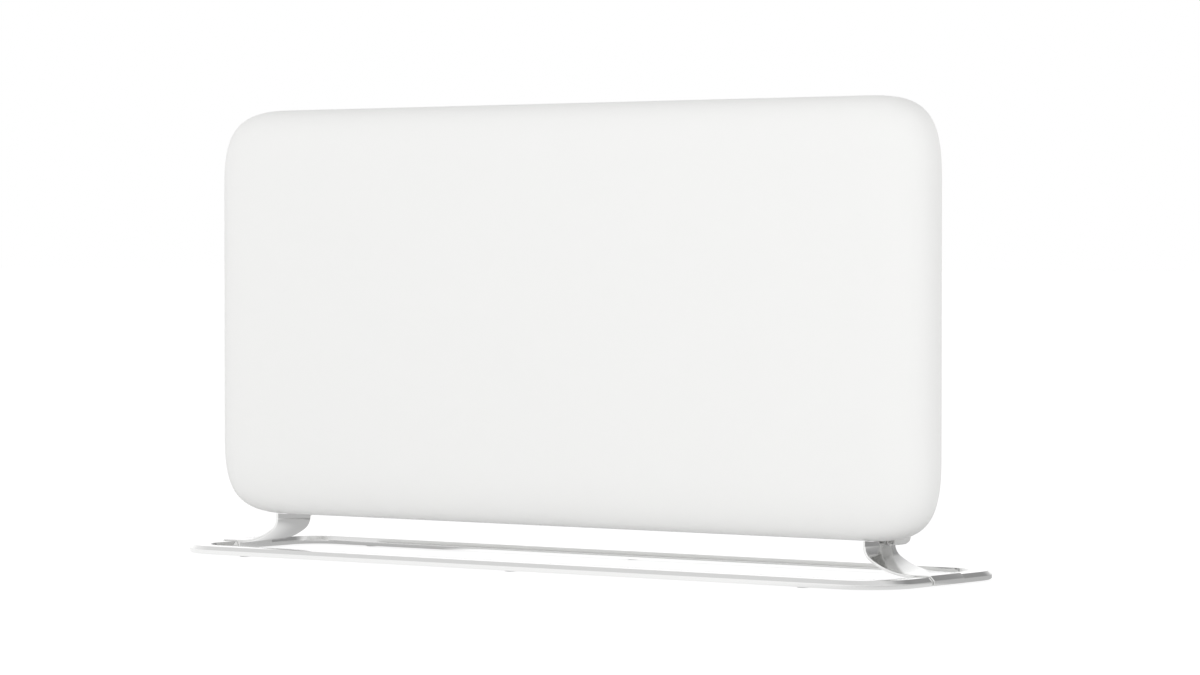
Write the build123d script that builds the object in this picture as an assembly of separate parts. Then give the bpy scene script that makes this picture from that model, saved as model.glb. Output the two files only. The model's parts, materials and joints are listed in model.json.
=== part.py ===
from build123d import *
from math import acos, cos, degrees, radians, sin
import os

# Electric panel convector heater: a pillow-shaped front panel and a shallow rear casing,
# carried by two bent steel feet on one closed ring of flat bar.
# Millimetres. Origin on the floor under the centre of the ring.
# +X to the right seen from the front, +Y to the back, +Z up.

# ---------------------------------------------------------------- driving dimensions
# A cutting tool runs this far past a face
over = 1.0

# Floor ring and pads
ring_overhang = 2.25        # beyond the panel, at each end
ring_depth = 214.8
ring_corner = 51.4          # outer corner radius seen from above
bar_width = 22.0
bar_height = 8.0
bar_top_round = 3.9
bar_bottom_round = 1.8
pad_diameter = 12.0
pad_proud = 0.8             # how far a pad stands out under the ring
pad_recess = 1.2            # how deep it sits in the ring
pad_gap = 0.2
pad_end_offset = 92.6       # end pads, inward from the ring's ends

# Feet: strip and saddle
foot_width = 50.0
foot_centre_y = -3.5
strip_thickness = 2.7
strip_inset = 69.95         # outer face of the upright part, inside the panel's end
strip_reach = 36.0          # upright part inside the casing, above its floor
shoulder_drop = 1.0         # where the strip narrows to its tongue, below the panel
tongue_gap = 0.5            # to the panel's wall and to the casing
upper_bend = 13.3           # radius of the outer face, upright part to slope
lower_bend = 78.0           # radius of the upper face, slope to saddle
saddle_wall = 1.4
saddle_roof = 1.3
saddle_gap = 0.15
saddle_lift = 0.5           # its lower edge above the ring's underside
saddle_round = 4.4
foot_screw_y = 12.0
foot_screw_heights = (14.0, 28.0)   # above the casing's floor
foot_screw_rest = 3.0       # left uncut beyond its tip

# Front panel
panel_width = 840.7
panel_height = 401.4
panel_bottom = 37.5         # above the floor
panel_front_y = -45.6
panel_sheet = 1.5
edge_inset = 57.0           # width of the soft edge
edge_depth = 32.0           # how far it falls back
edge_pull = 0.73            # how far its handles reach towards the sharp edge
wall_depth = 3.0            # straight wall behind the soft edge
corner_reach = 74.0         # length of a corner curve along each side
corner_pull = 0.765         # how far its handles reach towards the sharp corner

# Rear casing
casing_sheet = 1.5
casing_side_margin = 44.35  # tub inside the panel's outline, left and right
casing_top_margin = 26.65
casing_bottom_margin = 20.75
casing_back_y = 46.0
casing_corner = 15.0
casing_back_round = 8.0
flange_gap = 0.4            # to the panel's straight wall
flange_recess = 1.0         # in front of the wall's back edge
boss_diameter = 9.0
boss_side_margin = 180.35   # outer top and bottom bosses, from the ends of the panel
boss_end_margin = 46.0      # side bosses, from the top and bottom of the panel
boss_hole_depth = 16.0
boss_grip = 14.0            # screw in its boss

# Air channel
duct_end_margin = 52.0      # duct's left wall, from the tub's left end
bay_length = 148.0          # from the duct's right wall to the tub's right end
duct_sheet = 0.8
duct_front_y = -7.0
duct_flange = 12.0
duct_gap = 1.0              # to the casing's floor and top
duct_screw_rows = 4
duct_screw_low = 36.0       # lowest one above the tub's bottom
duct_screw_high = 30.0      # highest one below its top
duct_screw_grip = 5.0       # past the sheets
air_margin = 6.0            # grille openings inside the duct
air_front_y = 0.0
air_back_y = 34.0
grille_plate = 2.0
grille_lap = 3.0
grille_fit = 0.3
grille_wall = 1.6
outlet_rim = 14.0
outlet_blades = 4
blade_thickness = 1.4
blade_lean = 30.0           # degrees forward at the top
blade_drop = 0.2            # below the frame's face
outlet_ribs = 9
rib_drop = 1.5              # ribs below the blades' top edges
inlet_rim = 4.0
inlet_slots = 54
inlet_bar = 4.0

# Heating element
element_y = 18.0
element_z = 118.0
core_radius = 8.0
stub_radius = 5.5
fin_height = 40.0           # of the innermost fins
fin_step = 4.0              # each further pair is shorter by this
fin_thickness = 1.6
fin_pitch = 6.0
fin_pairs = 3
web_thickness = 2.4
element_end_gap = 12.0      # fins to the duct's side walls
bush_radius = 10.0
bush_flange_radius = 13.0
bush_flange = 3.0
bush_length = 8.0
bush_gap = 0.2
pin_radius = 1.6
pin_length = 12.0
pin_offset = 2.8

# Foot sockets
socket_gap = 0.3
socket_inner_wall = 4.0
socket_height = 38.0        # above the casing's floor
socket_front_y = -6.0
lug_width = 9.0
lug_front_y = 6.3
lug_back_y = 33.0
lug_bottom = 32.6           # above the floor
lug_round = 4.2
lug_back_round = 9.0
lug_hollow = 4.0
lug_wall = 1.7
socket_base = 3.0
socket_base_reach = 13.0
socket_screw_inset = 8.0
socket_screw_tip = 2.0      # through the casing's floor

# Top controls
# X places in the bay are given from the duct's right wall.
fascia_start = 12.0
fascia_plate = 2.0
fascia_corner = 4.0
fascia_lap = 6.0
fascia_rim = 6.0
button_names = ("power", "minus", "plus", "mode")
button_diameter = 9.0
button_pitch = 14.0
button_margin = 9.0         # window to the first button's axis
button_end_margin = 18.0    # last button's axis to the fascia's right end
button_proud = 1.4
button_edge = 0.5
button_gap = 0.25
button_travel = 1.2
button_collar = 1.5         # collar wider than the cap, on the radius
collar_thickness = 1.0
collar_play = 0.2
stem_radius = 1.7
stem_gap = 0.2
key_side = 6.0
key_height = 5.0
key_recess = 3.0
window_margin = 11.0        # from the fascia's left end
window_length = 28.0
window_width = 13.0
window_gap = 0.1
window_lip = 1.0
display_drop = 14.25        # board's upper face under the fascia plate
display_board_thickness = 1.6
display_margin_x = 3.0      # board beyond its posts
display_margin_y = 1.0
display_screw_grip = 6.0
post_hole_depth = 9.0
post_radius = 3.0
post_inset_x = 12.0
post_inset_y = 11.0
digits_length = 22.0
digits_width = 9.0
digits_height = 8.0

# Power board
board_start = 12.0
board_width = 92.0
board_low = 146.75          # above the tub's bottom
board_height = 130.0
board_thickness = 1.6
board_screw_grip = 4.0
casing_screw_grip = 3.5
standoff_height = 9.0
standoff_across = 5.5
board_hole_inset = 5.0
relay_size = (28.0, 16.0, 20.0)
relay_place = (-18.0, 32.0) # from the board's middle, above its lower edge
transformer_size = (30.0, 22.0, 26.0)
transformer_place = (18.0, 94.0)
capacitor_radius = 6.5
capacitor_height = 18.0
capacitor_place = (20.0, 34.0)
terminal_block_size = (34.0, 18.0, 18.0)
terminal_block_start = 74.0
terminal_block_z = 132.0
terminal_poles = 3
terminal_wire_depth = 10.8  # wire holes behind the block's front
terminal_hole_radius = 2.0
terminal_screw_radius = 2.4
terminal_screw_recess = 1.0

# Safety thermostat
cutout_z = 190.0
cutout_radius = 8.0
cutout_depth = 9.0
cutout_plate = 1.0
cutout_plate_length = 30.0
cutout_plate_width = 14.0
cutout_hole_pitch = 23.0
cutout_screw_grip = 4.0
cutout_tab_pitch = 8.0
cutout_tab_size = (7.0, 0.8, 6.0)

# Tilt switch
tilt_start = 34.0
tilt_y = 18.0
tilt_z = 178.0
tilt_cheek = 1.5
tilt_cheek_above = 8.0      # over the flag
tilt_cheek_below = 4.0      # under the pendulum's eye
tilt_inside = 18.0          # between the cheeks
tilt_pin_radius = 1.5
tilt_pin_gap = 0.06
tilt_pin_end = 1.0          # beyond each cheek
tilt_arm = 24.0
stem_half_width = 1.6
weight_radius = 7.0
weight_length = 12.0
eye_radius = 4.0
eye_length = 6.0
flag_height = 14.0
flag_width = 5.0
flag_thickness = 1.2
fork_overlap = 5.0          # of the fork past the flag's top
fork_roof_gap = 1.5
fork_gap = 3.2
fork_width = 6.0
cheek_width = 12.0

# Mains switch and cord gland
rocker_start = 30.0
rocker_z = 92.0
rocker_width = 17.0
rocker_radius = 11.5
rocker_throw = 20.0         # degrees, stop to stop
rocker_face = 4.3           # pressed half above the pivot
rocker_depth = 6.0          # behind the pivot
rocker_side_gap = 0.3
pivot_depth = 4.0           # pivot behind the bezel's face
trunnion_radius = 1.5
trunnion_length = 1.5
trunnion_gap = 0.05
trunnion_end_gap = 0.3
bezel_thickness = 2.0
bezel_border = 3.2
switch_wall = 2.1
switch_depth = 20.0
switch_well = 9.0           # behind the pivot
gland_start = 78.0
gland_z = 88.0
gland_bore_radius = 3.8
gland_neck_radius = 8.0
gland_flange_radius = 11.0
gland_flange = 4.0
gland_nose = 8.0
gland_nose_radius = 7.0
gland_nose_edge = 1.5
gland_nut_thickness = 5.0
gland_nut_across = 20.0
gland_neck_length = 9.0
gland_gap = 0.15

# Room temperature sensor
sensor_start = 78.0
sensor_y = 8.0
sensor_radius = 2.5
sensor_length = 16.0
sensor_height = 7.0         # above the casing's floor
sensor_clip_width = 6.0
sensor_clip_wall = 1.6
sensor_mouth = 4.0          # clip's mouth, narrower than the bead
sensor_gap = 0.1

# Wall bracket slots in the casing's back
slot_end_margin = 46.0      # slots from the duct's side walls
slot_pitch_z = 180.0
slot_centre_z = 262.0       # above the floor, clear of the element
slot_length = 18.0
slot_width = 5.2

# Screws: shank radius, head radius, head height
screw_m4 = (1.95, 3.9, 2.4)
screw_m5 = (2.4, 4.5, 3.2)
screw_m3 = (1.45, 2.8, 1.8)
screw_gap = 0.1

# ---------------------------------------------------------------- places worked out
ring_length = panel_width + 2 * ring_overhang
ring_bottom = pad_proud
bar_top = ring_bottom + bar_height
saddle_top = bar_top + saddle_roof
saddle_inner_x = ring_length / 2 - bar_width - saddle_gap - saddle_wall
saddle_outer_x = ring_length / 2 + saddle_gap + saddle_wall

panel_centre_z = panel_bottom + panel_height / 2
rim_y = panel_front_y + edge_depth
wall_back_y = rim_y + wall_depth
flange_back_y = wall_back_y - flange_recess
flange_front_y = flange_back_y - casing_sheet

tub_half_x = panel_width / 2 - casing_side_margin
tub_bottom = panel_bottom + casing_bottom_margin
tub_top = panel_bottom + panel_height - casing_top_margin
floor_top = tub_bottom + casing_sheet
back_inside_y = casing_back_y - casing_sheet

strip_face_x = panel_width / 2 - strip_inset
strip_inner_x = strip_face_x - strip_thickness
strip_front_y = foot_centre_y - foot_width / 2
strip_back_y = foot_centre_y + foot_width / 2
strip_top = floor_top + strip_reach
shoulder_z = panel_bottom - shoulder_drop
tongue_front_y = wall_back_y + tongue_gap

duct_left_x = duct_end_margin - tub_half_x
duct_right_x = tub_half_x - bay_length
slot_pitch_x = duct_right_x - duct_left_x - 2 * slot_end_margin
slot_centre_x = (duct_left_x + duct_right_x) / 2

fascia_x0 = duct_right_x + fascia_start
window_x = fascia_x0 + window_margin + window_length / 2
first_button_x = window_x + window_length / 2 + button_margin
last_button_x = first_button_x + (len(button_names) - 1) * button_pitch
fascia_x1 = last_button_x + button_end_margin
board_x0 = duct_right_x + board_start
board_x1 = board_x0 + board_width
board_z0 = tub_bottom + board_low
board_z1 = board_z0 + board_height
terminal_block_x = duct_right_x + terminal_block_start
tilt_x = duct_right_x + tilt_start
rocker_x = duct_right_x + rocker_start
gland_x = duct_right_x + gland_start
sensor_x = duct_right_x + sensor_start

air_x0 = duct_left_x + air_margin
air_x1 = duct_right_x - air_margin

nodes = {}


# ---------------------------------------------------------------- small helpers
def block(x0, x1, y0, y1, z0, z1):
    """Box between two corners."""
    centre = Pos((x0 + x1) / 2, (y0 + y1) / 2, (z0 + z1) / 2)
    return centre * Box(x1 - x0, y1 - y0, z1 - z0)


def rod(axis, start, radius, length):
    """Cylinder that starts at a point and runs along +X, +Y or +Z."""
    turn = {"X": Rot(0, 90, 0), "Y": Rot(-90, 0, 0), "Z": Rot(0, 0, 0)}[axis]
    low = (Align.CENTER, Align.CENTER, Align.MIN)
    return Pos(*start) * turn * Cylinder(radius, length, align=low)


def prism_y(sketch, y0, y1):
    """Sketch drawn as X, Z and carried from y0 to y1."""
    flat = Plane.XZ.offset(-y1) * sketch
    return extrude(flat, amount=y1 - y0)


def rounded_box_y(half_x, z0, z1, radius, y0, y1):
    """Block along Y with four rounded corners, centred on X."""
    outline = Pos(0, (z0 + z1) / 2) * RectangleRounded(2 * half_x, z1 - z0, radius)
    return prism_y(outline, y0, y1)


def hex_rod_y(start, across, length):
    """Hexagon bar of a width across flats, from a point along +Y."""
    section = RegularPolygon(across / 2, 6, major_radius=False)
    return Pos(*start) * Rot(-90, 0, 0) * extrude(section, amount=length)


def screw(axis, under_head, size, length, inward):
    """Pan-head screw. Its head's underside lies at under_head; inward is +1 or -1."""
    shank_radius, head_radius, head_height = size
    step = {"X": (1, 0, 0), "Y": (0, 1, 0), "Z": (0, 0, 1)}[axis]

    def moved(distance):
        return tuple(p + distance * s for p, s in zip(under_head, step))

    if inward > 0:
        shank = rod(axis, under_head, shank_radius, length)
        head = rod(axis, moved(-head_height), head_radius, head_height)
    else:
        shank = rod(axis, moved(-length), shank_radius, length)
        head = rod(axis, under_head, head_radius, head_height)
    return shank + head


def mirrored(solid):
    """The left-hand twin of a right-hand piece."""
    return mirror(solid, about=Plane.YZ)


def keep(name, *solids):
    """Store one node, made of one solid or of several alike."""
    nodes[name] = solids


# ---------------------------------------------------------------- stand
def ring_plan(inset):
    """Rounded rectangle of the ring seen from above, drawn in by an inset."""
    return RectangleRounded(ring_length - 2 * inset, ring_depth - 2 * inset, ring_corner - inset)


def pad_places():
    """Centres of the pads along the two long bars."""
    bar_y = ring_depth / 2 - bar_width / 2
    end_x = ring_length / 2 - pad_end_offset
    return [(x, y) for x in (-end_x, 0, end_x) for y in (-bar_y, bar_y)]


def make_ring():
    plan = ring_plan(0) - ring_plan(bar_width)
    bar = extrude(Pos(0, 0, ring_bottom) * plan, amount=bar_height)
    top_edges = bar.edges().filter_by(Plane.XY).group_by(Axis.Z)[-1]
    bar = fillet(top_edges, bar_top_round)
    low_edges = bar.edges().filter_by(Plane.XY).group_by(Axis.Z)[0]
    bar = fillet(low_edges, bar_bottom_round)
    pockets = [rod("Z", (x, y, ring_bottom), pad_diameter / 2 + pad_gap, pad_recess)
               for x, y in pad_places()]
    keep("floor_ring", bar - pockets)


def make_pads():
    pads = [rod("Z", (x, y, 0), pad_diameter / 2, pad_proud + pad_recess)
            for x, y in pad_places()]
    keep("floor_pads", *pads)


def foot_profile():
    """Strip seen from the front: upright, then two tangent arcs out to the saddle."""
    turn = degrees(acos((saddle_inner_x - strip_face_x - upper_bend) / (lower_bend - upper_bend)))
    start_z = (saddle_top + lower_bend * (1 - sin(radians(turn)))
               + upper_bend * sin(radians(turn)))
    upper_centre = (strip_face_x + upper_bend, start_z)
    lower_centre = (saddle_inner_x, saddle_top + lower_bend)

    def face_line(offset):
        upright = Line((strip_face_x - offset, strip_top), (strip_face_x - offset, start_z))
        bend = CenterArc(upper_centre, upper_bend + offset, 180, turn)
        sweep = CenterArc(lower_centre, lower_bend + offset, 180 + turn, 90 - turn)
        return [upright, bend, sweep]

    outer = face_line(0)
    inner = face_line(strip_thickness)
    top = Line((strip_inner_x, strip_top), (strip_face_x, strip_top))
    end = Line((saddle_inner_x, saddle_top - strip_thickness), (saddle_inner_x, saddle_top))
    return make_face(Wire(outer + inner + [top, end]))


def saddle_profile():
    """Inverted U over the ring's bar, its roof resting on the bar."""
    low = ring_bottom + saddle_lift
    width = saddle_outer_x - saddle_inner_x
    centre_x = (saddle_outer_x + saddle_inner_x) / 2
    body = Pos(centre_x, (low + saddle_top) / 2) * Rectangle(width, saddle_top - low)
    outer_corner = body.vertices().sort_by(Axis.X)[-2:].sort_by(Axis.Y)[-1]
    body = fillet(outer_corner, saddle_round)
    hollow_width = bar_width + 2 * saddle_gap
    hollow_x = ring_length / 2 - bar_width / 2
    hollow_height = bar_top - low
    hollow = Pos(hollow_x, low + hollow_height / 2) * Rectangle(hollow_width, hollow_height)
    upper = hollow.vertices().group_by(Axis.Y)[-1]
    hollow = fillet(upper, bar_top_round - saddle_gap)
    return body - hollow


def make_feet():
    """Strip and saddle in one piece. Its tongue, above the shoulder, passes behind the panel."""
    profile = foot_profile() + saddle_profile()
    foot = prism_y(profile, strip_front_y, strip_back_y)
    foot -= block(strip_inner_x - over, strip_face_x + over, strip_front_y - over, tongue_front_y,
                  shoulder_z, strip_top + over)
    foot -= [rod("X", (strip_inner_x - over, y, z), screw_m5[0] + screw_gap,
                 strip_thickness + 2 * over) for y, z in foot_screw_places()]
    keep("foot_right", foot)
    keep("foot_left", mirrored(foot))


def foot_screw_places():
    """Y and Z of the two screws that clamp a strip in its socket."""
    return [(foot_screw_y, floor_top + height) for height in foot_screw_heights]


def rounded_foot(low_u, high_u, top, low_round, high_round):
    """Upright rectangle down to the lug's bottom, its two lower corners rounded."""
    width = high_u - low_u
    face = Pos((low_u + high_u) / 2, (lug_bottom + top) / 2) * Rectangle(width, top - lug_bottom)
    low_corner, high_corner = face.vertices().group_by(Axis.Y)[0].sort_by(Axis.X)
    if low_round > 0:
        face = fillet(low_corner, low_round)
        high_corner = face.vertices().sort_by(Axis.X).group_by(Axis.X)[-1].sort_by(Axis.Y)[0]
    return fillet(high_corner, high_round)


def make_sockets():
    """Moulded socket on the casing's floor, with a hollow round-bottomed lug below it."""
    inner_x0 = strip_inner_x - socket_gap - socket_inner_wall
    inner_x1 = strip_inner_x - socket_gap
    lug_x0 = strip_face_x + socket_gap
    lug_x1 = lug_x0 + lug_width
    top = floor_top + socket_height
    back = block(inner_x0, lug_x1, strip_back_y + socket_gap, lug_back_y, floor_top, top)
    body = block(inner_x0, inner_x1, socket_front_y, lug_back_y, floor_top, top) + back
    body += block(lug_x0, lug_x1, socket_front_y, lug_back_y, floor_top, top)
    body += block(inner_x0 - socket_base_reach, inner_x1, socket_front_y, lug_back_y,
                  floor_top, floor_top + socket_base)
    lug = prism_y(rounded_foot(lug_x0, lug_x1, top, lug_round, lug_round),
                  lug_front_y, lug_back_y)
    side = rounded_foot(lug_front_y, lug_back_y, top, 0, lug_back_round)
    lug &= extrude(Plane.YZ.offset(lug_x0) * side, amount=lug_width)
    hollow = block(lug_x0 + lug_wall, lug_x1 - lug_wall, lug_front_y - over,
                   lug_front_y + lug_hollow, lug_bottom + lug_wall, tub_bottom)
    socket = body + (lug - hollow)
    for y, z in foot_screw_places():
        socket -= rod("X", (inner_x0 - over, y, z), screw_m5[0] + screw_gap, lug_x1 - inner_x0)
    for x, y in socket_screw_places():
        socket -= rod("Z", (x, y, floor_top - over), screw_m3[0] + screw_gap,
                      socket_base + 2 * over)
    keep("foot_socket_right", socket)
    keep("foot_socket_left", mirrored(socket))


def socket_screw_places():
    """X and Y of the two screws that hold a socket down."""
    x = strip_inner_x - socket_gap - socket_inner_wall - socket_base_reach / 2
    return [(x, socket_front_y + socket_screw_inset), (x, lug_back_y - socket_screw_inset)]


def make_foot_screws():
    inner_x0 = strip_inner_x - socket_gap - socket_inner_wall
    length = (socket_inner_wall + strip_thickness + 2 * socket_gap + lug_width
              - foot_screw_rest)
    right = [screw("X", (inner_x0, y, z), screw_m5, length, 1) for y, z in foot_screw_places()]
    keep("foot_screws", *right, *[mirrored(s) for s in right])
    hold = [screw("Z", (x, y, floor_top + socket_base), screw_m3,
                  socket_base + casing_sheet + socket_screw_tip, -1)
            for x, y in socket_screw_places()]
    keep("socket_screws", *hold, *[mirrored(s) for s in hold])


# ---------------------------------------------------------------- front panel
def outline_runs(inset):
    """Control points (X, Z) of the outline's eight runs in turn: soft corner, straight side."""
    half_x = panel_width / 2 - inset
    half_z = panel_height / 2 - inset
    reach = corner_reach - inset
    handle = reach * (1 - corner_pull)
    corners = []
    for sx, sz in ((1, 1), (-1, 1), (-1, -1), (1, -1)):
        corner = [(sx * (half_x - from_side), panel_centre_z + sz * (half_z - from_end))
                  for from_side, from_end in ((0, reach), (0, handle), (handle, 0), (reach, 0))]
        corners.append(corner if sx * sz > 0 else corner[::-1])
    runs = []
    for k in range(4):
        runs += [corners[k], [corners[k][-1], corners[(k + 1) % 4][0]]]
    return runs


def outline_face(inset, y):
    """Flat face inside the outline at one depth."""
    return make_face(Wire([Bezier(*[(x, y, z) for x, z in run]) for run in outline_runs(inset)]))


def pillow(sheet, back_y):
    """Solid inside the panel's outer surface, or inside its inner surface when sheet > 0.

    The soft edge is a cubic curve carried round the outline: four rows of control points, the
    two middle rows its handles, which reach towards the sharp edge by the edge's pull.
    """
    front_y = panel_front_y + sheet
    levels = [(sheet, rim_y), (sheet, rim_y + edge_pull * (front_y - rim_y)),
              (edge_inset - edge_pull * (edge_inset - sheet), front_y), (edge_inset, front_y)]
    rows = [outline_runs(inset) for inset, _ in levels]
    faces = [outline_face(edge_inset, front_y).face(), outline_face(sheet, back_y).face()]
    for run in range(len(rows[0])):
        edge = [[(x, level[1], z) for (x, z), level in zip(column, levels)]
                for column in zip(*[row[run] for row in rows])]
        faces.append(Face.make_bezier_surface(edge))
        wall = [[(x, rim_y, z), (x, back_y, z)] for x, z in rows[0][run]]
        faces.append(Face.make_bezier_surface(wall))
    return Solid(Shell(faces))


def boss_places():
    """X and Z of the panel's screw bosses, around the casing's flange."""
    side_x = (tub_half_x + panel_width / 2) / 2
    low = panel_bottom + boss_end_margin
    high = panel_bottom + panel_height - boss_end_margin
    places = [(sx * side_x, z) for sx in (-1, 1) for z in (low, panel_centre_z, high)]
    upper = (tub_top + panel_bottom + panel_height) / 2
    lower = (tub_bottom + panel_bottom) / 2
    outer_x = panel_width / 2 - boss_side_margin
    return places + [(k * outer_x, z) for k in (-1, 0, 1) for z in (lower, upper)]


def make_panel():
    cavity = pillow(panel_sheet, wall_back_y + over)
    shell = pillow(0, wall_back_y) - cavity
    length = flange_front_y - panel_front_y
    for x, z in boss_places():
        post = rod("Y", (x, panel_front_y, z), boss_diameter / 2, length)
        hole = rod("Y", (x, flange_front_y - boss_hole_depth, z), screw_m4[0] + screw_gap,
                   boss_hole_depth + over)
        shell += (post & cavity) - hole
    keep("front_panel", shell)


# ---------------------------------------------------------------- rear casing
def tub_block(shrink, y0, y1):
    """Tub volume drawn in by a wall thickness."""
    body = rounded_box_y(tub_half_x - shrink, tub_bottom + shrink, tub_top - shrink,
                         casing_corner - shrink, y0, y1)
    back_edges = body.faces().sort_by(Axis.Y)[-1].edges()
    return fillet(back_edges, casing_back_round - shrink)


def duct_screw_places():
    """X and Z of the screws through the casing's back into the duct's flanges."""
    low, high = tub_bottom + duct_screw_low, tub_top - duct_screw_high
    heights = [low + (high - low) * k / (duct_screw_rows - 1) for k in range(duct_screw_rows)]
    left = duct_left_x - duct_flange / 2
    right = duct_right_x + duct_flange / 2
    return [(x, z) for x in (left, right) for z in heights]


def slot_places():
    """X and Z of the four slots for a wall bracket."""
    return [(slot_centre_x + sx * slot_pitch_x / 2, slot_centre_z + sz * slot_pitch_z / 2)
            for sx in (-1, 1) for sz in (-1, 1)]


def standoff_places():
    """X and Z of the power board's four standoffs."""
    return [(x, z) for x in (board_x0 + board_hole_inset, board_x1 - board_hole_inset)
            for z in (board_z0 + board_hole_inset, board_z1 - board_hole_inset)]


def make_casing():
    outline = outline_face(panel_sheet + flange_gap, flange_front_y)
    flange = extrude(outline, amount=casing_sheet, dir=(0, 1, 0))
    tub = tub_block(0, flange_front_y, casing_back_y)
    casing = (flange + tub) - tub_block(casing_sheet, flange_front_y - over, back_inside_y)
    through = casing_sheet + 2 * over
    back_start = back_inside_y - over
    cuts = [rod("Y", (x, flange_front_y - over, z), screw_m4[0] + screw_gap, through)
            for x, z in boss_places()]
    cuts += [rod("Y", (x, back_start, z), screw_m4[0] + screw_gap, through)
             for x, z in duct_screw_places()]
    cuts += [rod("Y", (x, back_start, z), screw_m3[0] + screw_gap, through)
             for x, z in standoff_places()]
    for x, z in slot_places():
        slot = Pos(x, z) * SlotOverall(slot_length, slot_width)
        cuts.append(prism_y(slot, back_start, casing_back_y + over))
    floor_cut = (tub_bottom - over, floor_top + over)
    roof_cut = (tub_top - casing_sheet - over, tub_top + over)
    for heights in (floor_cut, roof_cut):
        cuts.append(block(air_x0, air_x1, air_front_y, air_back_y, *heights))
    cuts.append(block(fascia_x0 + fascia_lap, fascia_x1 - fascia_lap,
                      air_front_y + grille_lap, air_back_y - grille_lap, *roof_cut))
    cuts.append(switch_body(grille_fit, back_start, casing_back_y + over))
    cuts.append(rod("Y", (gland_x, back_start, gland_z), gland_neck_radius + gland_gap, through))
    tongue_hole = block(strip_inner_x - tongue_gap, strip_face_x + tongue_gap,
                        tongue_front_y - tongue_gap, strip_back_y + tongue_gap, *floor_cut)
    lug_x1 = strip_face_x + socket_gap + lug_width
    lug_hole = block(strip_face_x, lug_x1 + tongue_gap, lug_front_y - tongue_gap,
                     lug_back_y + tongue_gap, *floor_cut)
    for hole in (tongue_hole, lug_hole):
        cuts += [hole, mirrored(hole)]
    for x, y in socket_screw_places():
        hole = rod("Z", (x, y, tub_bottom - over), screw_m3[0] + screw_gap, through)
        cuts += [hole, mirrored(hole)]
    keep("rear_casing", casing - cuts)


def make_casing_screws():
    panel = [screw("Y", (x, flange_back_y, z), screw_m4, casing_sheet + boss_grip, -1)
             for x, z in boss_places()]
    keep("panel_screws", *panel)
    length = casing_sheet + duct_sheet + duct_screw_grip
    duct = [screw("Y", (x, casing_back_y, z), screw_m4, length, -1)
            for x, z in duct_screw_places()]
    keep("duct_screws", *duct)


# ---------------------------------------------------------------- grilles
def air_frame(z0, z1, grow):
    """Rectangular block over the air opening, wider than it by grow."""
    return block(air_x0 - grow, air_x1 + grow, air_front_y - grow, air_back_y + grow, z0, z1)


def blade_profile(y, low, high):
    """Curved blade seen from the side: upright at the foot, leaning forward at the top."""
    bend = (high - low) / sin(radians(blade_lean))
    centre = (y - bend, low)
    outer = CenterArc(centre, bend + blade_thickness / 2, 0, blade_lean)
    inner = CenterArc(centre, bend - blade_thickness / 2, 0, blade_lean)
    foot = Line(inner @ 0, outer @ 0)
    tip = Line(inner @ 1, outer @ 1)
    return make_face(Wire([outer, tip, inner, foot]))


def make_outlet():
    low, high = tub_top - outlet_rim, tub_top + grille_plate
    frame = air_frame(tub_top, high, grille_lap) + air_frame(low, tub_top, -grille_fit)
    frame -= air_frame(low - over, high + over, -grille_fit - grille_wall)
    pitch = (air_back_y - air_front_y) / (outlet_blades + 1)
    blades = []
    for k in range(outlet_blades):
        y = air_front_y + pitch * (k + 1) + blade_thickness
        profile = Plane.YZ.offset(air_x0 + grille_fit) * blade_profile(y, low, high - blade_drop)
        blades.append(extrude(profile, amount=air_x1 - air_x0 - 2 * grille_fit))
    spacing = (air_x1 - air_x0) / (outlet_ribs + 1)
    ribs = []
    for k in range(outlet_ribs):
        x = air_x0 + spacing * (k + 1)
        ribs.append(block(x - blade_thickness / 2, x + blade_thickness / 2,
                          air_front_y + grille_fit, air_back_y - grille_fit,
                          low, high - rib_drop))
    keep("outlet_grille", frame + blades + ribs)


def make_inlet():
    low, high = tub_bottom - grille_plate, tub_bottom + inlet_rim
    frame = air_frame(low, tub_bottom, grille_lap) + air_frame(tub_bottom, high, -grille_fit)
    frame -= air_frame(tub_bottom, high + over, -grille_fit - grille_wall)
    span = air_x1 - air_x0 - 2 * (grille_fit + grille_wall)
    pitch = span / inlet_slots
    slot_y0 = air_front_y + grille_fit + grille_wall
    slot_y1 = air_back_y - grille_fit - grille_wall
    start = air_x0 + grille_fit + grille_wall
    slots = [block(start + pitch * k + inlet_bar / 2, start + pitch * (k + 1) - inlet_bar / 2,
                   slot_y0, slot_y1, low - over, tub_bottom + over) for k in range(inlet_slots)]
    keep("inlet_grille", frame - slots)


# ---------------------------------------------------------------- duct and element
def make_duct():
    z0, z1 = floor_top, tub_top - casing_sheet
    y0, y1 = duct_front_y, back_inside_y
    x0, x1 = duct_left_x, duct_right_x
    front = block(x0, x1, y0, y0 + duct_sheet, z0, z1)
    left = block(x0, x0 + duct_sheet, y0, y1, z0, z1)
    right = block(x1 - duct_sheet, x1, y0, y1, z0, z1)
    left_lap = block(x0 - duct_flange, x0 + duct_sheet, y1 - duct_sheet, y1, z0, z1)
    right_lap = block(x1 - duct_sheet, x1 + duct_flange, y1 - duct_sheet, y1, z0, z1)
    duct = front + left + right + left_lap + right_lap
    duct &= tub_block(casing_sheet + duct_gap, y0 - over, y1)
    through = duct_sheet + 2 * over
    wall_start = x1 - duct_sheet - over
    duct -= rod("X", (x0 - over, element_y, element_z), bush_radius + bush_gap, x1 - x0 + 2 * over)
    duct -= rod("X", (wall_start, element_y, cutout_z), cutout_radius + bush_gap, through)
    duct -= [rod("Y", (x, y1 - duct_sheet - over, z), screw_m4[0] + screw_gap, through)
             for x, z in duct_screw_places()]
    duct -= [rod("X", (wall_start, element_y, z), screw_m3[0] + screw_gap, through)
             for z in cutout_screw_heights()]
    keep("convection_duct", duct)


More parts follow.
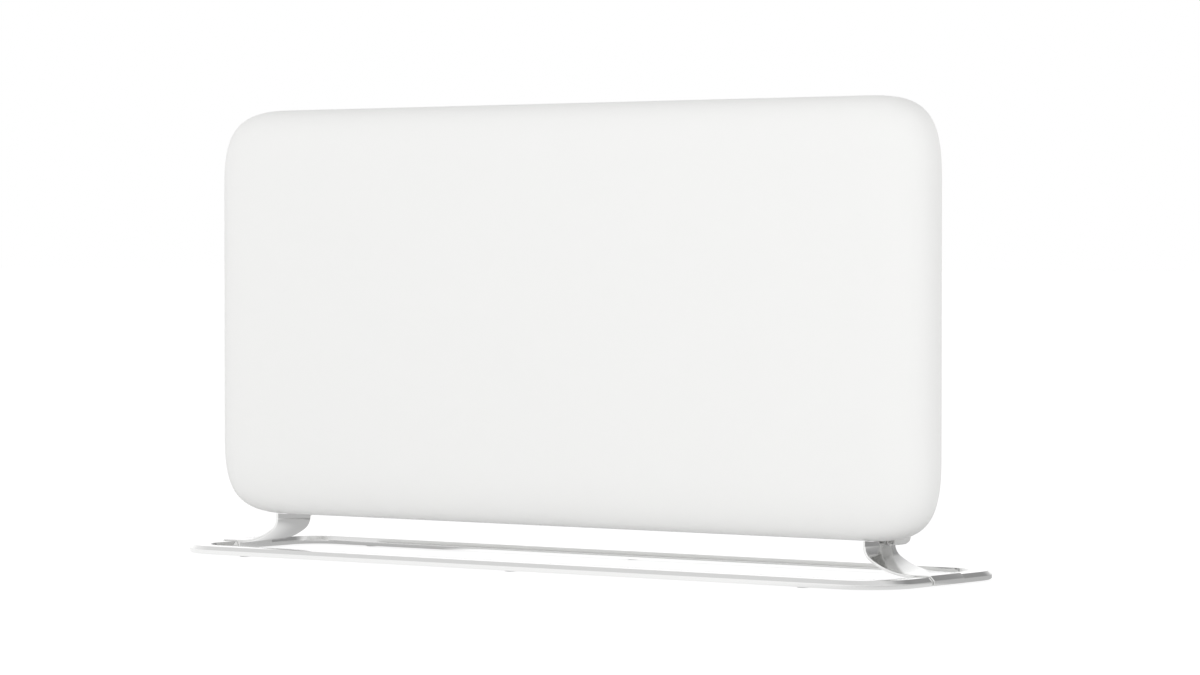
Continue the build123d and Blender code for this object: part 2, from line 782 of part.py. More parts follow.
def element_profile():
    """Core with a flat web and upright fins, seen along X."""
    reach = fin_pitch * (fin_pairs + 0.5)
    section = Circle(core_radius) + Rectangle(2 * reach, web_thickness)
    for k in range(1, fin_pairs + 1):
        height = fin_height - fin_step * (k - 1)
        for side in (-1, 1):
            section += Pos(side * fin_pitch * (k + 0.5), 0) * Rectangle(fin_thickness, height)
    return section


def make_element():
    x0 = duct_left_x + element_end_gap
    x1 = duct_right_x - element_end_gap
    body = extrude(Plane.YZ.offset(x0) * Pos(element_y, element_z) * element_profile(),
                   amount=x1 - x0)
    stub_x0 = duct_left_x - bush_length / 2
    stub_x1 = duct_right_x + bush_length
    body += rod("X", (stub_x0, element_y, element_z), stub_radius, stub_x1 - stub_x0)
    keep("heating_element", body)
    pins = [rod("X", (stub_x1, element_y + side * pin_offset, element_z), pin_radius, pin_length)
            for side in (-1, 1)]
    keep("element_pins", *pins)
    bore = stub_radius + bush_gap / 2
    left = rod("X", (duct_left_x - bush_length / 2, element_y, element_z), bush_radius,
               bush_length)
    left += rod("X", (duct_left_x + duct_sheet, element_y, element_z), bush_flange_radius,
                bush_flange)
    left -= rod("X", (duct_left_x - bush_length, element_y, element_z), bore, 3 * bush_length)
    right = rod("X", (duct_right_x - bush_length / 2, element_y, element_z), bush_radius,
                bush_length)
    right += rod("X", (duct_right_x - duct_sheet - bush_flange, element_y, element_z),
                 bush_flange_radius, bush_flange)
    right -= rod("X", (duct_right_x - 2 * bush_length, element_y, element_z), bore,
                 4 * bush_length)
    keep("element_bush_left", left)
    keep("element_bush_right", right)


def cutout_screw_heights():
    """Z of the thermostat's two screws."""
    return [cutout_z + side * cutout_hole_pitch / 2 for side in (-1, 1)]


def make_cutout():
    """Bimetal safety thermostat on the duct's right wall, its disc in the hot air."""
    x = duct_right_x
    body = rod("X", (x - duct_sheet, element_y, cutout_z), cutout_radius, cutout_depth)
    body += block(x, x + cutout_plate, element_y - cutout_plate_width / 2,
                  element_y + cutout_plate_width / 2, cutout_z - cutout_plate_length / 2,
                  cutout_z + cutout_plate_length / 2)
    body -= [rod("X", (x - over, element_y, z), screw_m3[0] + screw_gap, cutout_plate + 2 * over)
             for z in cutout_screw_heights()]
    tab_x = x - duct_sheet + cutout_depth + cutout_tab_size[0] / 2
    for side in (-1, 1):
        body += Pos(tab_x, element_y + side * cutout_tab_pitch / 2, cutout_z) * Box(*cutout_tab_size)
    keep("thermal_cutout", body)
    length = cutout_plate + cutout_screw_grip
    screws = [screw("X", (x + cutout_plate, element_y, z), screw_m3, length, -1)
              for z in cutout_screw_heights()]
    keep("cutout_screws", *screws)


# ---------------------------------------------------------------- top controls
def fascia_middle():
    """Y of the controls' middle line."""
    return (air_front_y + air_back_y) / 2


def post_places():
    """X and Y of the posts that carry the display board."""
    y_mid = fascia_middle()
    return [(x, y_mid + side * post_inset_y) for side in (-1, 1)
            for x in (fascia_x0 + post_inset_x, fascia_x1 - post_inset_x)]


def button_places():
    """X of each button by name."""
    return {name: first_button_x + button_pitch * k for k, name in enumerate(button_names)}


def make_fascia():
    y0, y1 = air_front_y - grille_lap, air_back_y + grille_lap
    y_mid = fascia_middle()
    top = tub_top + fascia_plate
    plate = block(fascia_x0, fascia_x1, y0, y1, tub_top, top)
    plate = fillet(plate.edges().filter_by(Axis.Z), fascia_corner)
    hole_x0, hole_x1 = fascia_x0 + fascia_lap, fascia_x1 - fascia_lap
    hole_y0, hole_y1 = air_front_y + grille_lap, air_back_y - grille_lap
    rim_low = tub_top - fascia_rim
    rim = block(hole_x0 + grille_fit, hole_x1 - grille_fit, hole_y0 + grille_fit,
                hole_y1 - grille_fit, rim_low, tub_top)
    inner = grille_fit + grille_wall
    rim -= block(hole_x0 + inner, hole_x1 - inner, hole_y0 + inner, hole_y1 - inner,
                 rim_low - over, tub_top + over)
    fascia = plate + rim
    for x, y in post_places():
        fascia += rod("Z", (x, y, tub_top - display_drop), post_radius, display_drop)
        fascia -= rod("Z", (x, y, tub_top - display_drop - over), screw_m3[0] + screw_gap,
                      post_hole_depth + over)
    for x in button_places().values():
        fascia -= rod("Z", (x, y_mid, tub_top - over), button_diameter / 2 + button_gap,
                      fascia_plate + 2 * over)
    fascia -= block(window_x - window_length / 2, window_x + window_length / 2,
                    y_mid - window_width / 2, y_mid + window_width / 2,
                    tub_top - over, top + over)
    keep("control_fascia", fascia)


def make_window():
    y_mid = fascia_middle()
    half_x, half_y = window_length / 2 - window_gap, window_width / 2 - window_gap
    lens = block(window_x - half_x, window_x + half_x, y_mid - half_y, y_mid + half_y,
                 tub_top, tub_top + fascia_plate)
    lip_x, lip_y = window_length / 2 + window_lip, window_width / 2 + window_lip
    lens += block(window_x - lip_x, window_x + lip_x, y_mid - lip_y, y_mid + lip_y,
                  tub_top - window_lip, tub_top)
    keep("display_window", lens)


def make_buttons():
    y_mid = fascia_middle()
    cap_top = tub_top + fascia_plate + button_proud
    collar_top = tub_top - collar_play
    board_top = tub_top - display_drop
    stem_low = board_top + key_height - key_recess + stem_gap + button_travel
    for name, x in button_places().items():
        cap = rod("Z", (x, y_mid, collar_top), button_diameter / 2, cap_top - collar_top)
        cap = chamfer(cap.edges().group_by(Axis.Z)[-1], button_edge)
        cap += rod("Z", (x, y_mid, collar_top - collar_thickness),
                   button_diameter / 2 + button_collar, collar_thickness)
        cap += rod("Z", (x, y_mid, stem_low), stem_radius,
                   collar_top - collar_thickness - stem_low)
        keep("button_" + name, cap)


def make_display_board():
    y_mid = fascia_middle()
    top = tub_top - display_drop
    low = top - display_board_thickness
    half_y = post_inset_y + post_radius + display_margin_y
    edge = post_inset_x - post_radius - display_margin_x
    board = block(fascia_x0 + edge, fascia_x1 - edge, y_mid - half_y, y_mid + half_y, low, top)
    board -= [rod("Z", (x, y, low - over), screw_m3[0] + screw_gap,
                  display_board_thickness + 2 * over) for x, y in post_places()]
    keep("display_board", board)
    digits = block(window_x - digits_length / 2, window_x + digits_length / 2,
                   y_mid - digits_width / 2, y_mid + digits_width / 2, top,
                   top + digits_height)
    keep("display_digits", digits)
    keys = []
    for x in button_places().values():
        key = block(x - key_side / 2, x + key_side / 2, y_mid - key_side / 2,
                    y_mid + key_side / 2, top, top + key_height)
        keys.append(key - rod("Z", (x, y_mid, top + key_height - key_recess),
                              stem_radius + stem_gap, key_recess + over))
    keep("key_switches", *keys)
    length = display_board_thickness + display_screw_grip
    screws = [screw("Z", (x, y, low), screw_m3, length, 1) for x, y in post_places()]
    keep("display_screws", *screws)


# ---------------------------------------------------------------- power electronics
def make_power_board():
    board_y1 = back_inside_y - standoff_height
    board_y0 = board_y1 - board_thickness
    board = block(board_x0, board_x1, board_y0, board_y1, board_z0, board_z1)
    board -= [rod("Y", (x, board_y0 - over, z), screw_m3[0] + screw_gap,
                  board_thickness + 2 * over) for x, z in standoff_places()]
    keep("power_board", board)
    standoffs = []
    for x, z in standoff_places():
        body = hex_rod_y((x, board_y1, z), standoff_across, standoff_height)
        bore = rod("Y", (x, board_y1 - over, z), screw_m3[0] + screw_gap,
                   standoff_height + 2 * over)
        standoffs.append(body - bore)
    keep("board_standoffs", *standoffs)
    front = [screw("Y", (x, board_y0, z), screw_m3, board_thickness + board_screw_grip, 1)
             for x, z in standoff_places()]
    back = [screw("Y", (x, casing_back_y, z), screw_m3, casing_sheet + casing_screw_grip, -1)
            for x, z in standoff_places()]
    keep("board_screws", *front, *back)

    def on_board(place, depth):
        return ((board_x0 + board_x1) / 2 + place[0], board_y0 - depth, board_z0 + place[1])

    low = (Align.CENTER, Align.MIN, Align.CENTER)
    for name, place, size in (("relay", relay_place, relay_size),
                              ("transformer", transformer_place, transformer_size)):
        keep(name, Pos(*on_board(place, size[1])) * Box(*size, align=low))
    keep("capacitor", rod("Y", on_board(capacitor_place, capacitor_height), capacitor_radius,
                          capacitor_height))


def make_terminal_block():
    length, depth, height = terminal_block_size
    x0 = terminal_block_x - length / 2
    y0 = back_inside_y - depth
    z0 = terminal_block_z - height / 2
    body = block(x0, x0 + length, y0, back_inside_y, z0, z0 + height)
    pitch = length / terminal_poles
    screws = []
    for k in range(terminal_poles):
        x = x0 + pitch * (k + 0.5)
        screw_depth = terminal_wire_depth - terminal_hole_radius
        body -= rod("Z", (x, y0 + terminal_wire_depth, z0 - over), terminal_hole_radius,
                    height + 2 * over)
        body -= rod("Y", (x, y0 - over, terminal_block_z), terminal_screw_radius + screw_gap,
                    screw_depth)
        screws.append(rod("Y", (x, y0 + terminal_screw_recess, terminal_block_z),
                          terminal_screw_radius, screw_depth - over - terminal_screw_recess))
    keep("terminal_block", body)
    keep("terminal_screws", *screws)


def make_tilt_switch():
    """Weight that hangs on a pin across the casing's depth and lifts a flag out of a fork."""
    half = tilt_inside / 2
    top = tilt_z + flag_height + tilt_cheek_above
    low = tilt_z - eye_radius - tilt_cheek_below
    pin_half = half + tilt_cheek + tilt_pin_end
    cheeks = []
    for side in (-1, 1):
        x0 = tilt_x + side * (half + tilt_cheek / 2) - tilt_cheek / 2
        cheek = block(x0, x0 + tilt_cheek, tilt_y - cheek_width / 2, back_inside_y, low, top)
        cheeks.append(cheek)
    web = block(tilt_x - half, tilt_x + half, back_inside_y - tilt_cheek, back_inside_y,
                low, top)
    frame = cheeks[0] + cheeks[1] + web
    bore = rod("X", (tilt_x - pin_half, tilt_y, tilt_z), tilt_pin_radius + tilt_pin_gap,
               2 * pin_half)
    keep("tilt_switch_frame", frame - bore)
    keep("tilt_pin", rod("X", (tilt_x - pin_half, tilt_y, tilt_z), tilt_pin_radius,
                         2 * pin_half))
    eye = rod("X", (tilt_x - eye_length / 2, tilt_y, tilt_z), eye_radius, eye_length)
    weight = rod("X", (tilt_x - weight_length / 2, tilt_y, tilt_z - tilt_arm), weight_radius,
                 weight_length)
    stem = rod("Z", (tilt_x, tilt_y, tilt_z - tilt_arm), stem_half_width, tilt_arm)
    flag = block(tilt_x - flag_thickness / 2, tilt_x + flag_thickness / 2,
                 tilt_y - flag_width / 2, tilt_y + flag_width / 2, tilt_z, tilt_z + flag_height)
    keep("tilt_pendulum", eye + weight + stem + flag - bore)
    fork = block(tilt_x - half, tilt_x + half, tilt_y - fork_width / 2,
                 tilt_y + fork_width / 2, tilt_z + flag_height - fork_overlap, top)
    fork -= block(tilt_x - fork_gap / 2, tilt_x + fork_gap / 2, tilt_y - fork_width,
                  tilt_y + fork_width, tilt_z, tilt_z + flag_height + fork_roof_gap)
    keep("tilt_sensor", fork)


# ---------------------------------------------------------------- back of the casing
def switch_body(grow, y0, y1):
    """Part of the mains switch that goes through the casing."""
    half_x = rocker_width / 2 + rocker_side_gap + switch_wall + grow
    half_z = rocker_radius + rocker_side_gap + switch_wall + grow
    return block(rocker_x - half_x, rocker_x + half_x, y0, y1, rocker_z - half_z,
                 rocker_z + half_z)


def make_mains_switch():
    face_y = casing_back_y + bezel_thickness
    pivot_y = face_y - pivot_depth
    housing = switch_body(0, face_y - switch_depth, face_y)
    housing += switch_body(bezel_border, casing_back_y, face_y)
    half_x = rocker_width / 2 + rocker_side_gap
    half_z = rocker_radius + rocker_side_gap
    housing -= block(rocker_x - half_x, rocker_x + half_x, pivot_y - switch_well, face_y + over,
                     rocker_z - half_z, rocker_z + half_z)
    reach = rocker_width / 2 + trunnion_length
    seat = reach + trunnion_end_gap
    housing -= rod("X", (rocker_x - seat, pivot_y, rocker_z), trunnion_radius + trunnion_gap,
                   2 * seat)
    keep("mains_switch_housing", housing)

    half_throw = rocker_throw / 2
    rise = sin(radians(half_throw))
    run = cos(radians(half_throw))
    wide = rocker_radius + over
    valley = rocker_face / run
    shoulder = (rocker_face + wide * rise) / run
    profile = Polygon((0, valley), (wide, shoulder), (wide, -rocker_depth),
                      (-wide, -rocker_depth), (-wide, shoulder), align=None)
    cap = extrude(profile, amount=rocker_width / 2, both=True)
    cap &= Cylinder(rocker_radius, rocker_width)
    cap += Cylinder(trunnion_radius, 2 * reach)
    upright = Plane(origin=(rocker_x, pivot_y, rocker_z), x_dir=(0, 0, 1), z_dir=(1, 0, 0))
    cap = Rot(0, 0, half_throw) * cap
    keep("mains_rocker", upright * (Rot(180, 0, 0) * cap))


def make_gland():
    neck_y = back_inside_y - gland_neck_length
    body = rod("Y", (gland_x, neck_y, gland_z), gland_neck_radius,
               gland_neck_length + casing_sheet)
    body += rod("Y", (gland_x, casing_back_y, gland_z), gland_flange_radius, gland_flange)
    nose_y = casing_back_y + gland_flange
    body += rod("Y", (gland_x, nose_y, gland_z), gland_nose_radius, gland_nose)
    nose_end = body.faces().sort_by(Axis.Y)[-1].edges()
    body = chamfer(nose_end, gland_nose_edge)
    body -= rod("Y", (gland_x, neck_y - over, gland_z), gland_bore_radius,
                nose_y + gland_nose - neck_y + 2 * over)
    keep("cord_gland", body)
    nut_y = back_inside_y - gland_nut_thickness
    nut = hex_rod_y((gland_x, nut_y, gland_z), gland_nut_across, gland_nut_thickness)
    nut -= rod("Y", (gland_x, nut_y - over, gland_z), gland_neck_radius + screw_gap,
               gland_nut_thickness + 2 * over)
    keep("gland_nut", nut)


def make_room_sensor():
    """Bead in a clip on the casing's floor, in the cold air."""
    z = floor_top + sensor_height
    y0 = sensor_y - sensor_length / 2
    keep("room_sensor", rod("Y", (sensor_x, y0, z), sensor_radius, sensor_length))
    wall = sensor_radius + sensor_gap + sensor_clip_wall
    clip = block(sensor_x - wall, sensor_x + wall, sensor_y - sensor_clip_width / 2,
                 sensor_y + sensor_clip_width / 2, floor_top, z + sensor_radius)
    clip -= rod("Y", (sensor_x, y0, z), sensor_radius + sensor_gap, sensor_length)
    clip -= block(sensor_x - sensor_mouth / 2, sensor_x + sensor_mouth / 2, y0,
                  y0 + sensor_length, z, z + 2 * sensor_radius)
    keep("sensor_clip", clip)


# ---------------------------------------------------------------- build and write
def build_all():
    make_ring()
    make_pads()
    make_feet()
    make_sockets()
    make_foot_screws()
    make_panel()
    make_casing()
    make_casing_screws()
    make_outlet()
    make_inlet()
    make_duct()
    make_element()
    make_cutout()
    make_fascia()
    make_window()
    make_buttons()
    make_display_board()
    make_power_board()
    make_terminal_block()
    make_tilt_switch()
    make_mains_switch()
    make_gland()
    make_room_sensor()


build_all()
os.makedirs("parts", exist_ok=True)
for name, solids in nodes.items():
    pieces = [piece for solid in solids for piece in solid.solids()]
    shape = pieces[0] if len(pieces) == 1 else Compound(children=pieces)
    shape.label = name
    export_step(shape, f"parts/{name}.step")
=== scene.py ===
import json
from math import atan2, cos, degrees, inf, pi, radians, sin, tan

import bmesh
import bpy
import numpy as np
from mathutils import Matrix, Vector


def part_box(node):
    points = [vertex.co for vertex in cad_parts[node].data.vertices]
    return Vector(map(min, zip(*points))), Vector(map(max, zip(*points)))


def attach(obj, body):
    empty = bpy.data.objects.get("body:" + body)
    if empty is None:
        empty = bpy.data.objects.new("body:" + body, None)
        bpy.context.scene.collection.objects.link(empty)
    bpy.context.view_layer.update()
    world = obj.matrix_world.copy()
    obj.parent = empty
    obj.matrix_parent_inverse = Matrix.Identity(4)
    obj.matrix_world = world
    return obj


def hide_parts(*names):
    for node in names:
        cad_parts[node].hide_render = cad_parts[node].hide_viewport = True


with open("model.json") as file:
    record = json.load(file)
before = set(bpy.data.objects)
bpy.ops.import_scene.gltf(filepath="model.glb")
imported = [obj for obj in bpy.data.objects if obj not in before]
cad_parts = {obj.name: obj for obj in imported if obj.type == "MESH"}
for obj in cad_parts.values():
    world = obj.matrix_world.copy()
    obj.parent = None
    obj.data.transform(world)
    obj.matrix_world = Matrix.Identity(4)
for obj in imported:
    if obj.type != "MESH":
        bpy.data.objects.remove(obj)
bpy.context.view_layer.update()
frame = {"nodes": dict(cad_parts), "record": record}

# Panel convector heater on a ring stand. Metres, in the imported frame: +X right, +Y back, +Z up.
MM = 0.001

# ---------------------------------------------------------------- sizes that the frame doesn't give
# Front panel
CORNER_REACH = 74.0 * MM        # length of a soft corner along each side of the panel
CORNER_PULL = 0.765             # how far its handles reach towards the sharp corner
EDGE_INSET = 57.0 * MM          # width of the soft edge
EDGE_DEPTH = 32.0 * MM          # how far it falls back
EDGE_PULL = 0.73                # how far its handles reach towards the sharp edge
PANEL_SHEET = 1.5 * MM

# Ring. A chamfer along an upper edge is how far it reaches across the top and down the face.
BAR_WIDTH = 22.0 * MM
BAR_OUTER_CHAMFER = (3.6 * MM, 3.6 * MM)
BAR_INNER_CHAMFER = (2.2 * MM, 3.9 * MM)
BAR_SOFT = 0.7 * MM             # radius where a chamfer meets a face
BAR_BOTTOM_ROUND = 1.8 * MM
RING_CORNER = 51.4 * MM

# Pads
PAD_EDGE = 0.5 * MM
PAD_GROOVE = 0.12 * MM          # depth of the rings under a pad
PAD_GROOVE_PITCH = 0.4          # of the pad's radius
PAD_GROOVES = 2
PAD_UNDERSIDE = (0.02, 0.88)    # least and greatest radius of its underside, of the pad's radius

# Feet: strip and saddle
STRIP_SHEET = 2.7 * MM
STRIP_EDGE = 0.6 * MM           # soft edge along both sides of a strip
UPPER_BEND = 13.3 * MM
LOWER_BEND = 78.0 * MM
SADDLE_WALL = 1.4 * MM
SADDLE_ROOF = 1.3 * MM
SADDLE_GAP = 0.15 * MM
SADDLE_CHAMFER = (4.2 * MM, 4.2 * MM)
SADDLE_SOFT = 0.9 * MM
SHOULDER_GAP = 0.3 * MM         # from a strip's shoulder to the panel's wall above it
SHOULDER_LIP = 1.1 * MM         # rise of the shoulder at the strip's front edge
LIP_LENGTH = 12.0 * MM
TONGUE_GAP = 0.5 * MM           # from the panel's wall to the strip's tongue
CUT_PAST = 1.0 * MM             # how far a cutting tool runs past a face

# Buttons
COLLAR_PROUD = 1.5 * MM         # collar wider than the cap, on the radius
BUTTON_EDGE = 0.5 * MM
BUTTON_STEM = 1.7 * MM
COLLAR_TOP = -3.6 * MM          # from the cap's upper edge
COLLAR_LOW = -4.6 * MM
DISH = 0.35 * MM                # depth of the hollow in a cap
DISH_REACH = 0.86               # its radius, of the cap's

# Printed signs. A stroke's width and length are halves.
SIGN_THICKNESS = 0.05 * MM
SIGN_SINK = 0.01 * MM
SIGN_LINE = 0.28 * MM
SIGN_STROKE = 1.7 * MM
STANDBY_OPEN = (125, 415)       # degrees between which its ring is drawn
STANDBY_BAR = (1.3 * MM, 1.1 * MM)      # its middle above the axis, and its length
PLUS_ARM = (1.0 * MM, 0.7 * MM)         # the same for the plus's upper arm
MODE_STROKE = 1.5 * MM
MODE_PITCH = 1.1 * MM
ON_BAR = (0.35 * MM, 2.2 * MM)
OFF_RING = (1.9 * MM, 0.7 * MM)         # radius and whole width
ROCKER_SIGN = 6.0 * MM          # from the rocker's middle to each sign
SIGHT_LENGTH = 50.0 * MM        # how far behind the rocker a line of sight to its face starts

# Cord gland: radii, lengths from its mouth inward, and edges
GLAND_BORE = 3.8 * MM
GLAND_NOSE = 7.0 * MM
GLAND_FLANGE = 11.0 * MM
GLAND_NECK = 8.0 * MM
NOSE_LENGTH = 8.0 * MM
FLANGE_THICKNESS = 4.0 * MM
MOUTH_ROUND = 0.8 * MM
NOSE_EDGE = 1.5 * MM
FLANGE_EDGE = 0.6 * MM
NECK_EDGE = 0.5 * MM
GROOVE_SPAN = (1.5 * MM, 7.4 * MM)
GROOVE_DEPTH = 0.35 * MM
GROOVES = 4

# Screws. Head radius: shank radius and head height
SCREW_SIZES = {2.8 * MM: (1.45 * MM, 1.8 * MM), 3.9 * MM: (1.95 * MM, 2.4 * MM),
               4.5 * MM: (2.4 * MM, 3.2 * MM)}
# Point and thread, in shares of the shank's radius: (radius, height above the tip)
SCREW_POINT = ((0.05, 0.0), (0.55, 0.35))
POINT_LENGTH = 0.8
THREAD_PITCH = 0.75
THREAD_DEPTH = 0.16
THREAD_TOP = -0.1               # height of its upper end, under the head
THREAD_CORE = 0.9               # what lies within this radius, as the point does, has no thread
# Head, in shares of its own radius and height: (radius, height), then a dome and a cross pocket
SCREW_HEAD = ((0.93, 0.0), (1.0, 0.12), (1.0, 0.35), (0.975, 0.55), (0.9, 0.72))
DOME_RADII = (0.82, 0.02)
DOME_FALL = 0.42
POCKET_HALF = 0.17              # half the width of an arm
POCKET_REACH = 0.6
POCKET_EASE = (0.1, 0.12)       # how soft its long walls and its end walls are
POCKET_DEPTH = 0.55
# Node: axis, where the heads point, and the place along the axis past which they point back
SCREWS = {
    "panel_screws": ("Y", 1, inf),
    "duct_screws": ("Y", 1, inf),
    "socket_screws": ("Z", 1, inf),
    "display_screws": ("Z", -1, inf),
    "cutout_screws": ("X", 1, inf),
    "foot_screws": ("X", 1, 0.0),
    "board_screws": ("Y", -1, 40.0 * MM),
}

# Points along curves, rows over surfaces, and sides of round pieces
CORNER_POINTS = 33              # one corner of the panel or the ring
SIDE_POINTS = 26                # one straight side of the panel
EDGE_ROWS = 33                  # soft edge, from the front to the wall
HEM_ROWS = 9
CHAMFER_POINTS = 6              # each end of a chamfer, and the edge of the gland's flange
BOTTOM_POINTS = 9               # each lower edge of the bar
UPPER_POINTS = 25               # upper bend of a strip
LOWER_POINTS = 41
END_ROWS = 5                    # soft edge along a strip
ROUND_POINTS = 7                # rounded edge of a pad, a cap or the gland's mouth
DISH_POINTS = 12
DOME_POINTS = 18
PAD_POINTS = 30
GROOVE_POINTS = 40
BAND_POINTS = 40
THREAD_ROWS = 4                 # to a turn of a screw's thread
THREAD_TURNS = 3                # the fewest
BEVEL_ROWS = 2
BUTTON_SIDES = 64
GLAND_SIDES = 72
PAD_SIDES = 48
SCREW_SIDES = 36
SIGN_SIDES = 48

# Meshes: corners nearer than this are one, and angles in degrees
MERGE = 0.001 * MM
CAD_MERGE = 0.002 * MM
FLAT_ANGLE = 0.6                # faces that meet at less are one flat face
BEVEL_ANGLE = 40.0              # edges that turn by more are bevelled

# CAD pieces that are shown as they are, with their sharp edges softened by so many millimetres
SOFT_EDGES = {
    "rear_casing": 0.5, "foot_socket_left": 0.5, "foot_socket_right": 0.5,
    "outlet_grille": 0.25, "inlet_grille": 0.3, "control_fascia": 0.4,
    "mains_switch_housing": 0.4, "display_window": 0.2, "gland_nut": 0.4,
    "convection_duct": 0.2, "heating_element": 0.15, "element_pins": 0.3,
    "element_bush_left": 0.3, "element_bush_right": 0.3, "thermal_cutout": 0.3,
    "display_board": 0.15, "display_digits": 0.1, "key_switches": 0.2, "power_board": 0.15,
    "board_standoffs": 0.2, "relay": 0.4, "transformer": 0.4, "capacitor": 0.6,
    "terminal_block": 0.3, "terminal_screws": 0.3, "tilt_switch_frame": 0.2, "tilt_pin": 0.2,
    "tilt_sensor": 0.2, "room_sensor": 0.2, "sensor_clip": 0.2, "mains_rocker": 0.5,
    "tilt_pendulum": 0.4,
}

# ---------------------------------------------------------------- camera, light and floor
EYE = Vector((2.50563, -3.29640, 0.29613))
AIM = Vector((0.03130, 0.0, 0.21716))
LENS = 130.66
SENSOR = 36.0
CAMERA_FAR = 200.0

LAMP_AIM = Vector((0, 0, 0.22))
LAMP_SIDE = 2.0
# Place and watts
LAMPS = {"key_lamp": ((2.2, -3.4, 1.0), 38.5), "fill_lamp": ((-3.2, -2.4, 0.9), 14.0),
         "back_lamp": ((1.2, 3.8, 1.1), 26.0)}

SKY_STOPS = ((0.0, 0.93), (0.5, 0.76), (1.0, 0.60))     # level by height, horizon to zenith
FLOOR_GLOW = 0.80               # floor as the camera sees it, beside its own tone
FLOOR_TONE = 0.34
FLOOR_BOUNCE = 0.90             # floor as diffuse light sees it
FLOOR_REACH = 60.0
FLOOR_DROP = 0.3 * MM           # under the pads, so that no two faces lie in one plane
# Behind the heater, low and a little to the right, the studio is dim. Only gloss shows it.
DIM_WAY = Vector((0.35, 0.85, 0.40)).normalized()
DIM_STOPS = ((0.0, 1.04), (0.45, 1.10), (0.60, 1.12), (0.71, 0.94), (0.84, 0.57), (0.95, 0.36),
             (1.0, 0.34))
BAND_STOPS = ((0.0, 1.0), (0.10, 1.06), (0.30, 1.02), (0.50, 0.88), (0.80, 0.74), (1.0, 0.70))
# As gloss sees it, the floor carries painted shade and light. It darkens from the front to the back
# over a short way, a painted shadow of the heater, is never brighter than a level that falls off to
# the right, a painted shade, and is bright again before the back bar, a painted light strip.
PAINTED_SHADOW_Y = (-0.04, 0.12)         # where the steps of PAINTED_SHADOW_STOPS begin and end
PAINTED_SHADOW_STOPS = ((0.0, 1.04), (0.5, 0.52), (1.0, 0.52))
# Painted shade on the floor that deepens to the right, seen only in gloss: span along X, and levels
PAINTED_SIDE_SHADE_X = (0.25, 0.75)
PAINTED_SIDE_SHADE_STOPS = ((0.0, 1.04), (0.5, 0.72), (0.84, 0.27), (1.0, 0.27))
# Painted light strip on the floor before the back bar, seen only in gloss: spans along Y and X, and
# levels
GLEAM_Y = (0.0, 0.2)
GLEAM_STOPS = ((0.0, 0.0), (0.24, 0.0), (0.30, 1.2), (0.44, 1.2), (0.50, 0.0), (1.0, 0.0))
GLEAM_X = (-0.27, 0.41)         # from behind the left foot to the ring's right end
GLEAM_X_STOPS = ((0.0, 0.0), (0.12, 1.0), (0.94, 1.0), (1.0, 0.0))


# ---------------------------------------------------------------- shader nodes
def node_tree(owner):
    """Empty node tree of a material or the world."""
    owner.use_nodes = True
    owner.node_tree.nodes.clear()
    return owner.node_tree


def feed(tree, source, socket):
    """Join a socket to a node's first output or a (node, output) pair, or set it to a value."""
    if isinstance(source, bpy.types.Node):
        tree.links.new(source.outputs[0], socket)
    elif isinstance(source, tuple) and isinstance(source[0], bpy.types.Node):
        tree.links.new(source[0].outputs[source[1]], socket)
    else:
        socket.default_value = source


def add(tree, kind, *entries, **values):
    """Node of a kind, its inputs fed in order by the entries.

    A value whose name is an input feeds that input, and any other sets an attribute.
    """
    node = tree.nodes.new("ShaderNode" + kind)
    for name, value in values.items():
        label = name.replace("_", " ")
        if label in node.inputs:
            feed(tree, value, node.inputs[label])
        else:
            setattr(node, name, value)
    for socket, value in zip(node.inputs, entries):
        feed(tree, value, socket)
    return node


def seen_directly(tree):
    """Light Path node, and a mask: 1 for camera, glossy and transmission rays, 0 for the rest."""
    path = add(tree, "LightPath")
    seen = add(tree, "Math", (path, "Is Camera Ray"), (path, "Is Glossy Ray"),
               operation="MAXIMUM")
    return path, add(tree, "Math", seen, (path, "Is Transmission Ray"), operation="MAXIMUM")


def levels(tree, source, stops):
    """Colour ramp of greys, eased between its stops."""
    node = add(tree, "ValToRGB", source)
    ramp = node.color_ramp
    while len(ramp.elements) < len(stops):
        ramp.elements.new(0.5)
    ramp.interpolation = "EASE"
    for element, (position, level) in zip(ramp.elements, stops):
        element.position = position
        element.color = (level, level, level, 1)
    return node


# ---------------------------------------------------------------- studio
def make_camera():
    """Camera at the photograph's viewing angle."""
    data = bpy.data.cameras.new("camera")
    data.lens = LENS
    data.sensor_width = SENSOR
    data.clip_end = CAMERA_FAR
    camera = bpy.data.objects.new("camera", data)
    bpy.context.scene.collection.objects.link(camera)
    camera.location = EYE
    camera.rotation_euler = (AIM - EYE).to_track_quat("-Z", "Y").to_euler()
    bpy.context.scene.camera = camera


def make_lamp(name, place, watts):
    """Square soft lamp that looks at the heater and doesn't show in gloss."""
    light = bpy.data.lights.new(name, "AREA")
    light.shape = "SQUARE"
    light.size = LAMP_SIDE
    light.energy = watts
    lamp = bpy.data.objects.new(name, light)
    bpy.context.scene.collection.objects.link(lamp)
    lamp.location = place
    lamp.rotation_euler = (LAMP_AIM - Vector(place)).to_track_quat("-Z", "Y").to_euler()
    lamp.visible_glossy = False


def make_world():
    """White studio: even for diffuse light, white to the camera, dim behind for gloss."""
    world = bpy.data.worlds.new("studio")
    bpy.context.scene.world = world
    tree = node_tree(world)
    path, seen = seen_directly(tree)
    way = (add(tree, "TexCoord"), "Generated")
    height = add(tree, "Math", (add(tree, "SeparateXYZ", way), "Z"), operation="ABSOLUTE")
    even = add(tree, "Background", levels(tree, height, SKY_STOPS))
    dim = add(tree, "VectorMath", way, DIM_WAY, operation="DOT_PRODUCT")
    graded = add(tree, "VectorMath", levels(tree, (dim, "Value"), DIM_STOPS),
                 levels(tree, height, BAND_STOPS), operation="MULTIPLY")
    white = add(tree, "Background", (1, 1, 1, 1))
    direct = add(tree, "MixShader", (path, "Is Camera Ray"), add(tree, "Background", graded), white)
    add(tree, "OutputWorld", add(tree, "MixShader", seen, even, direct))


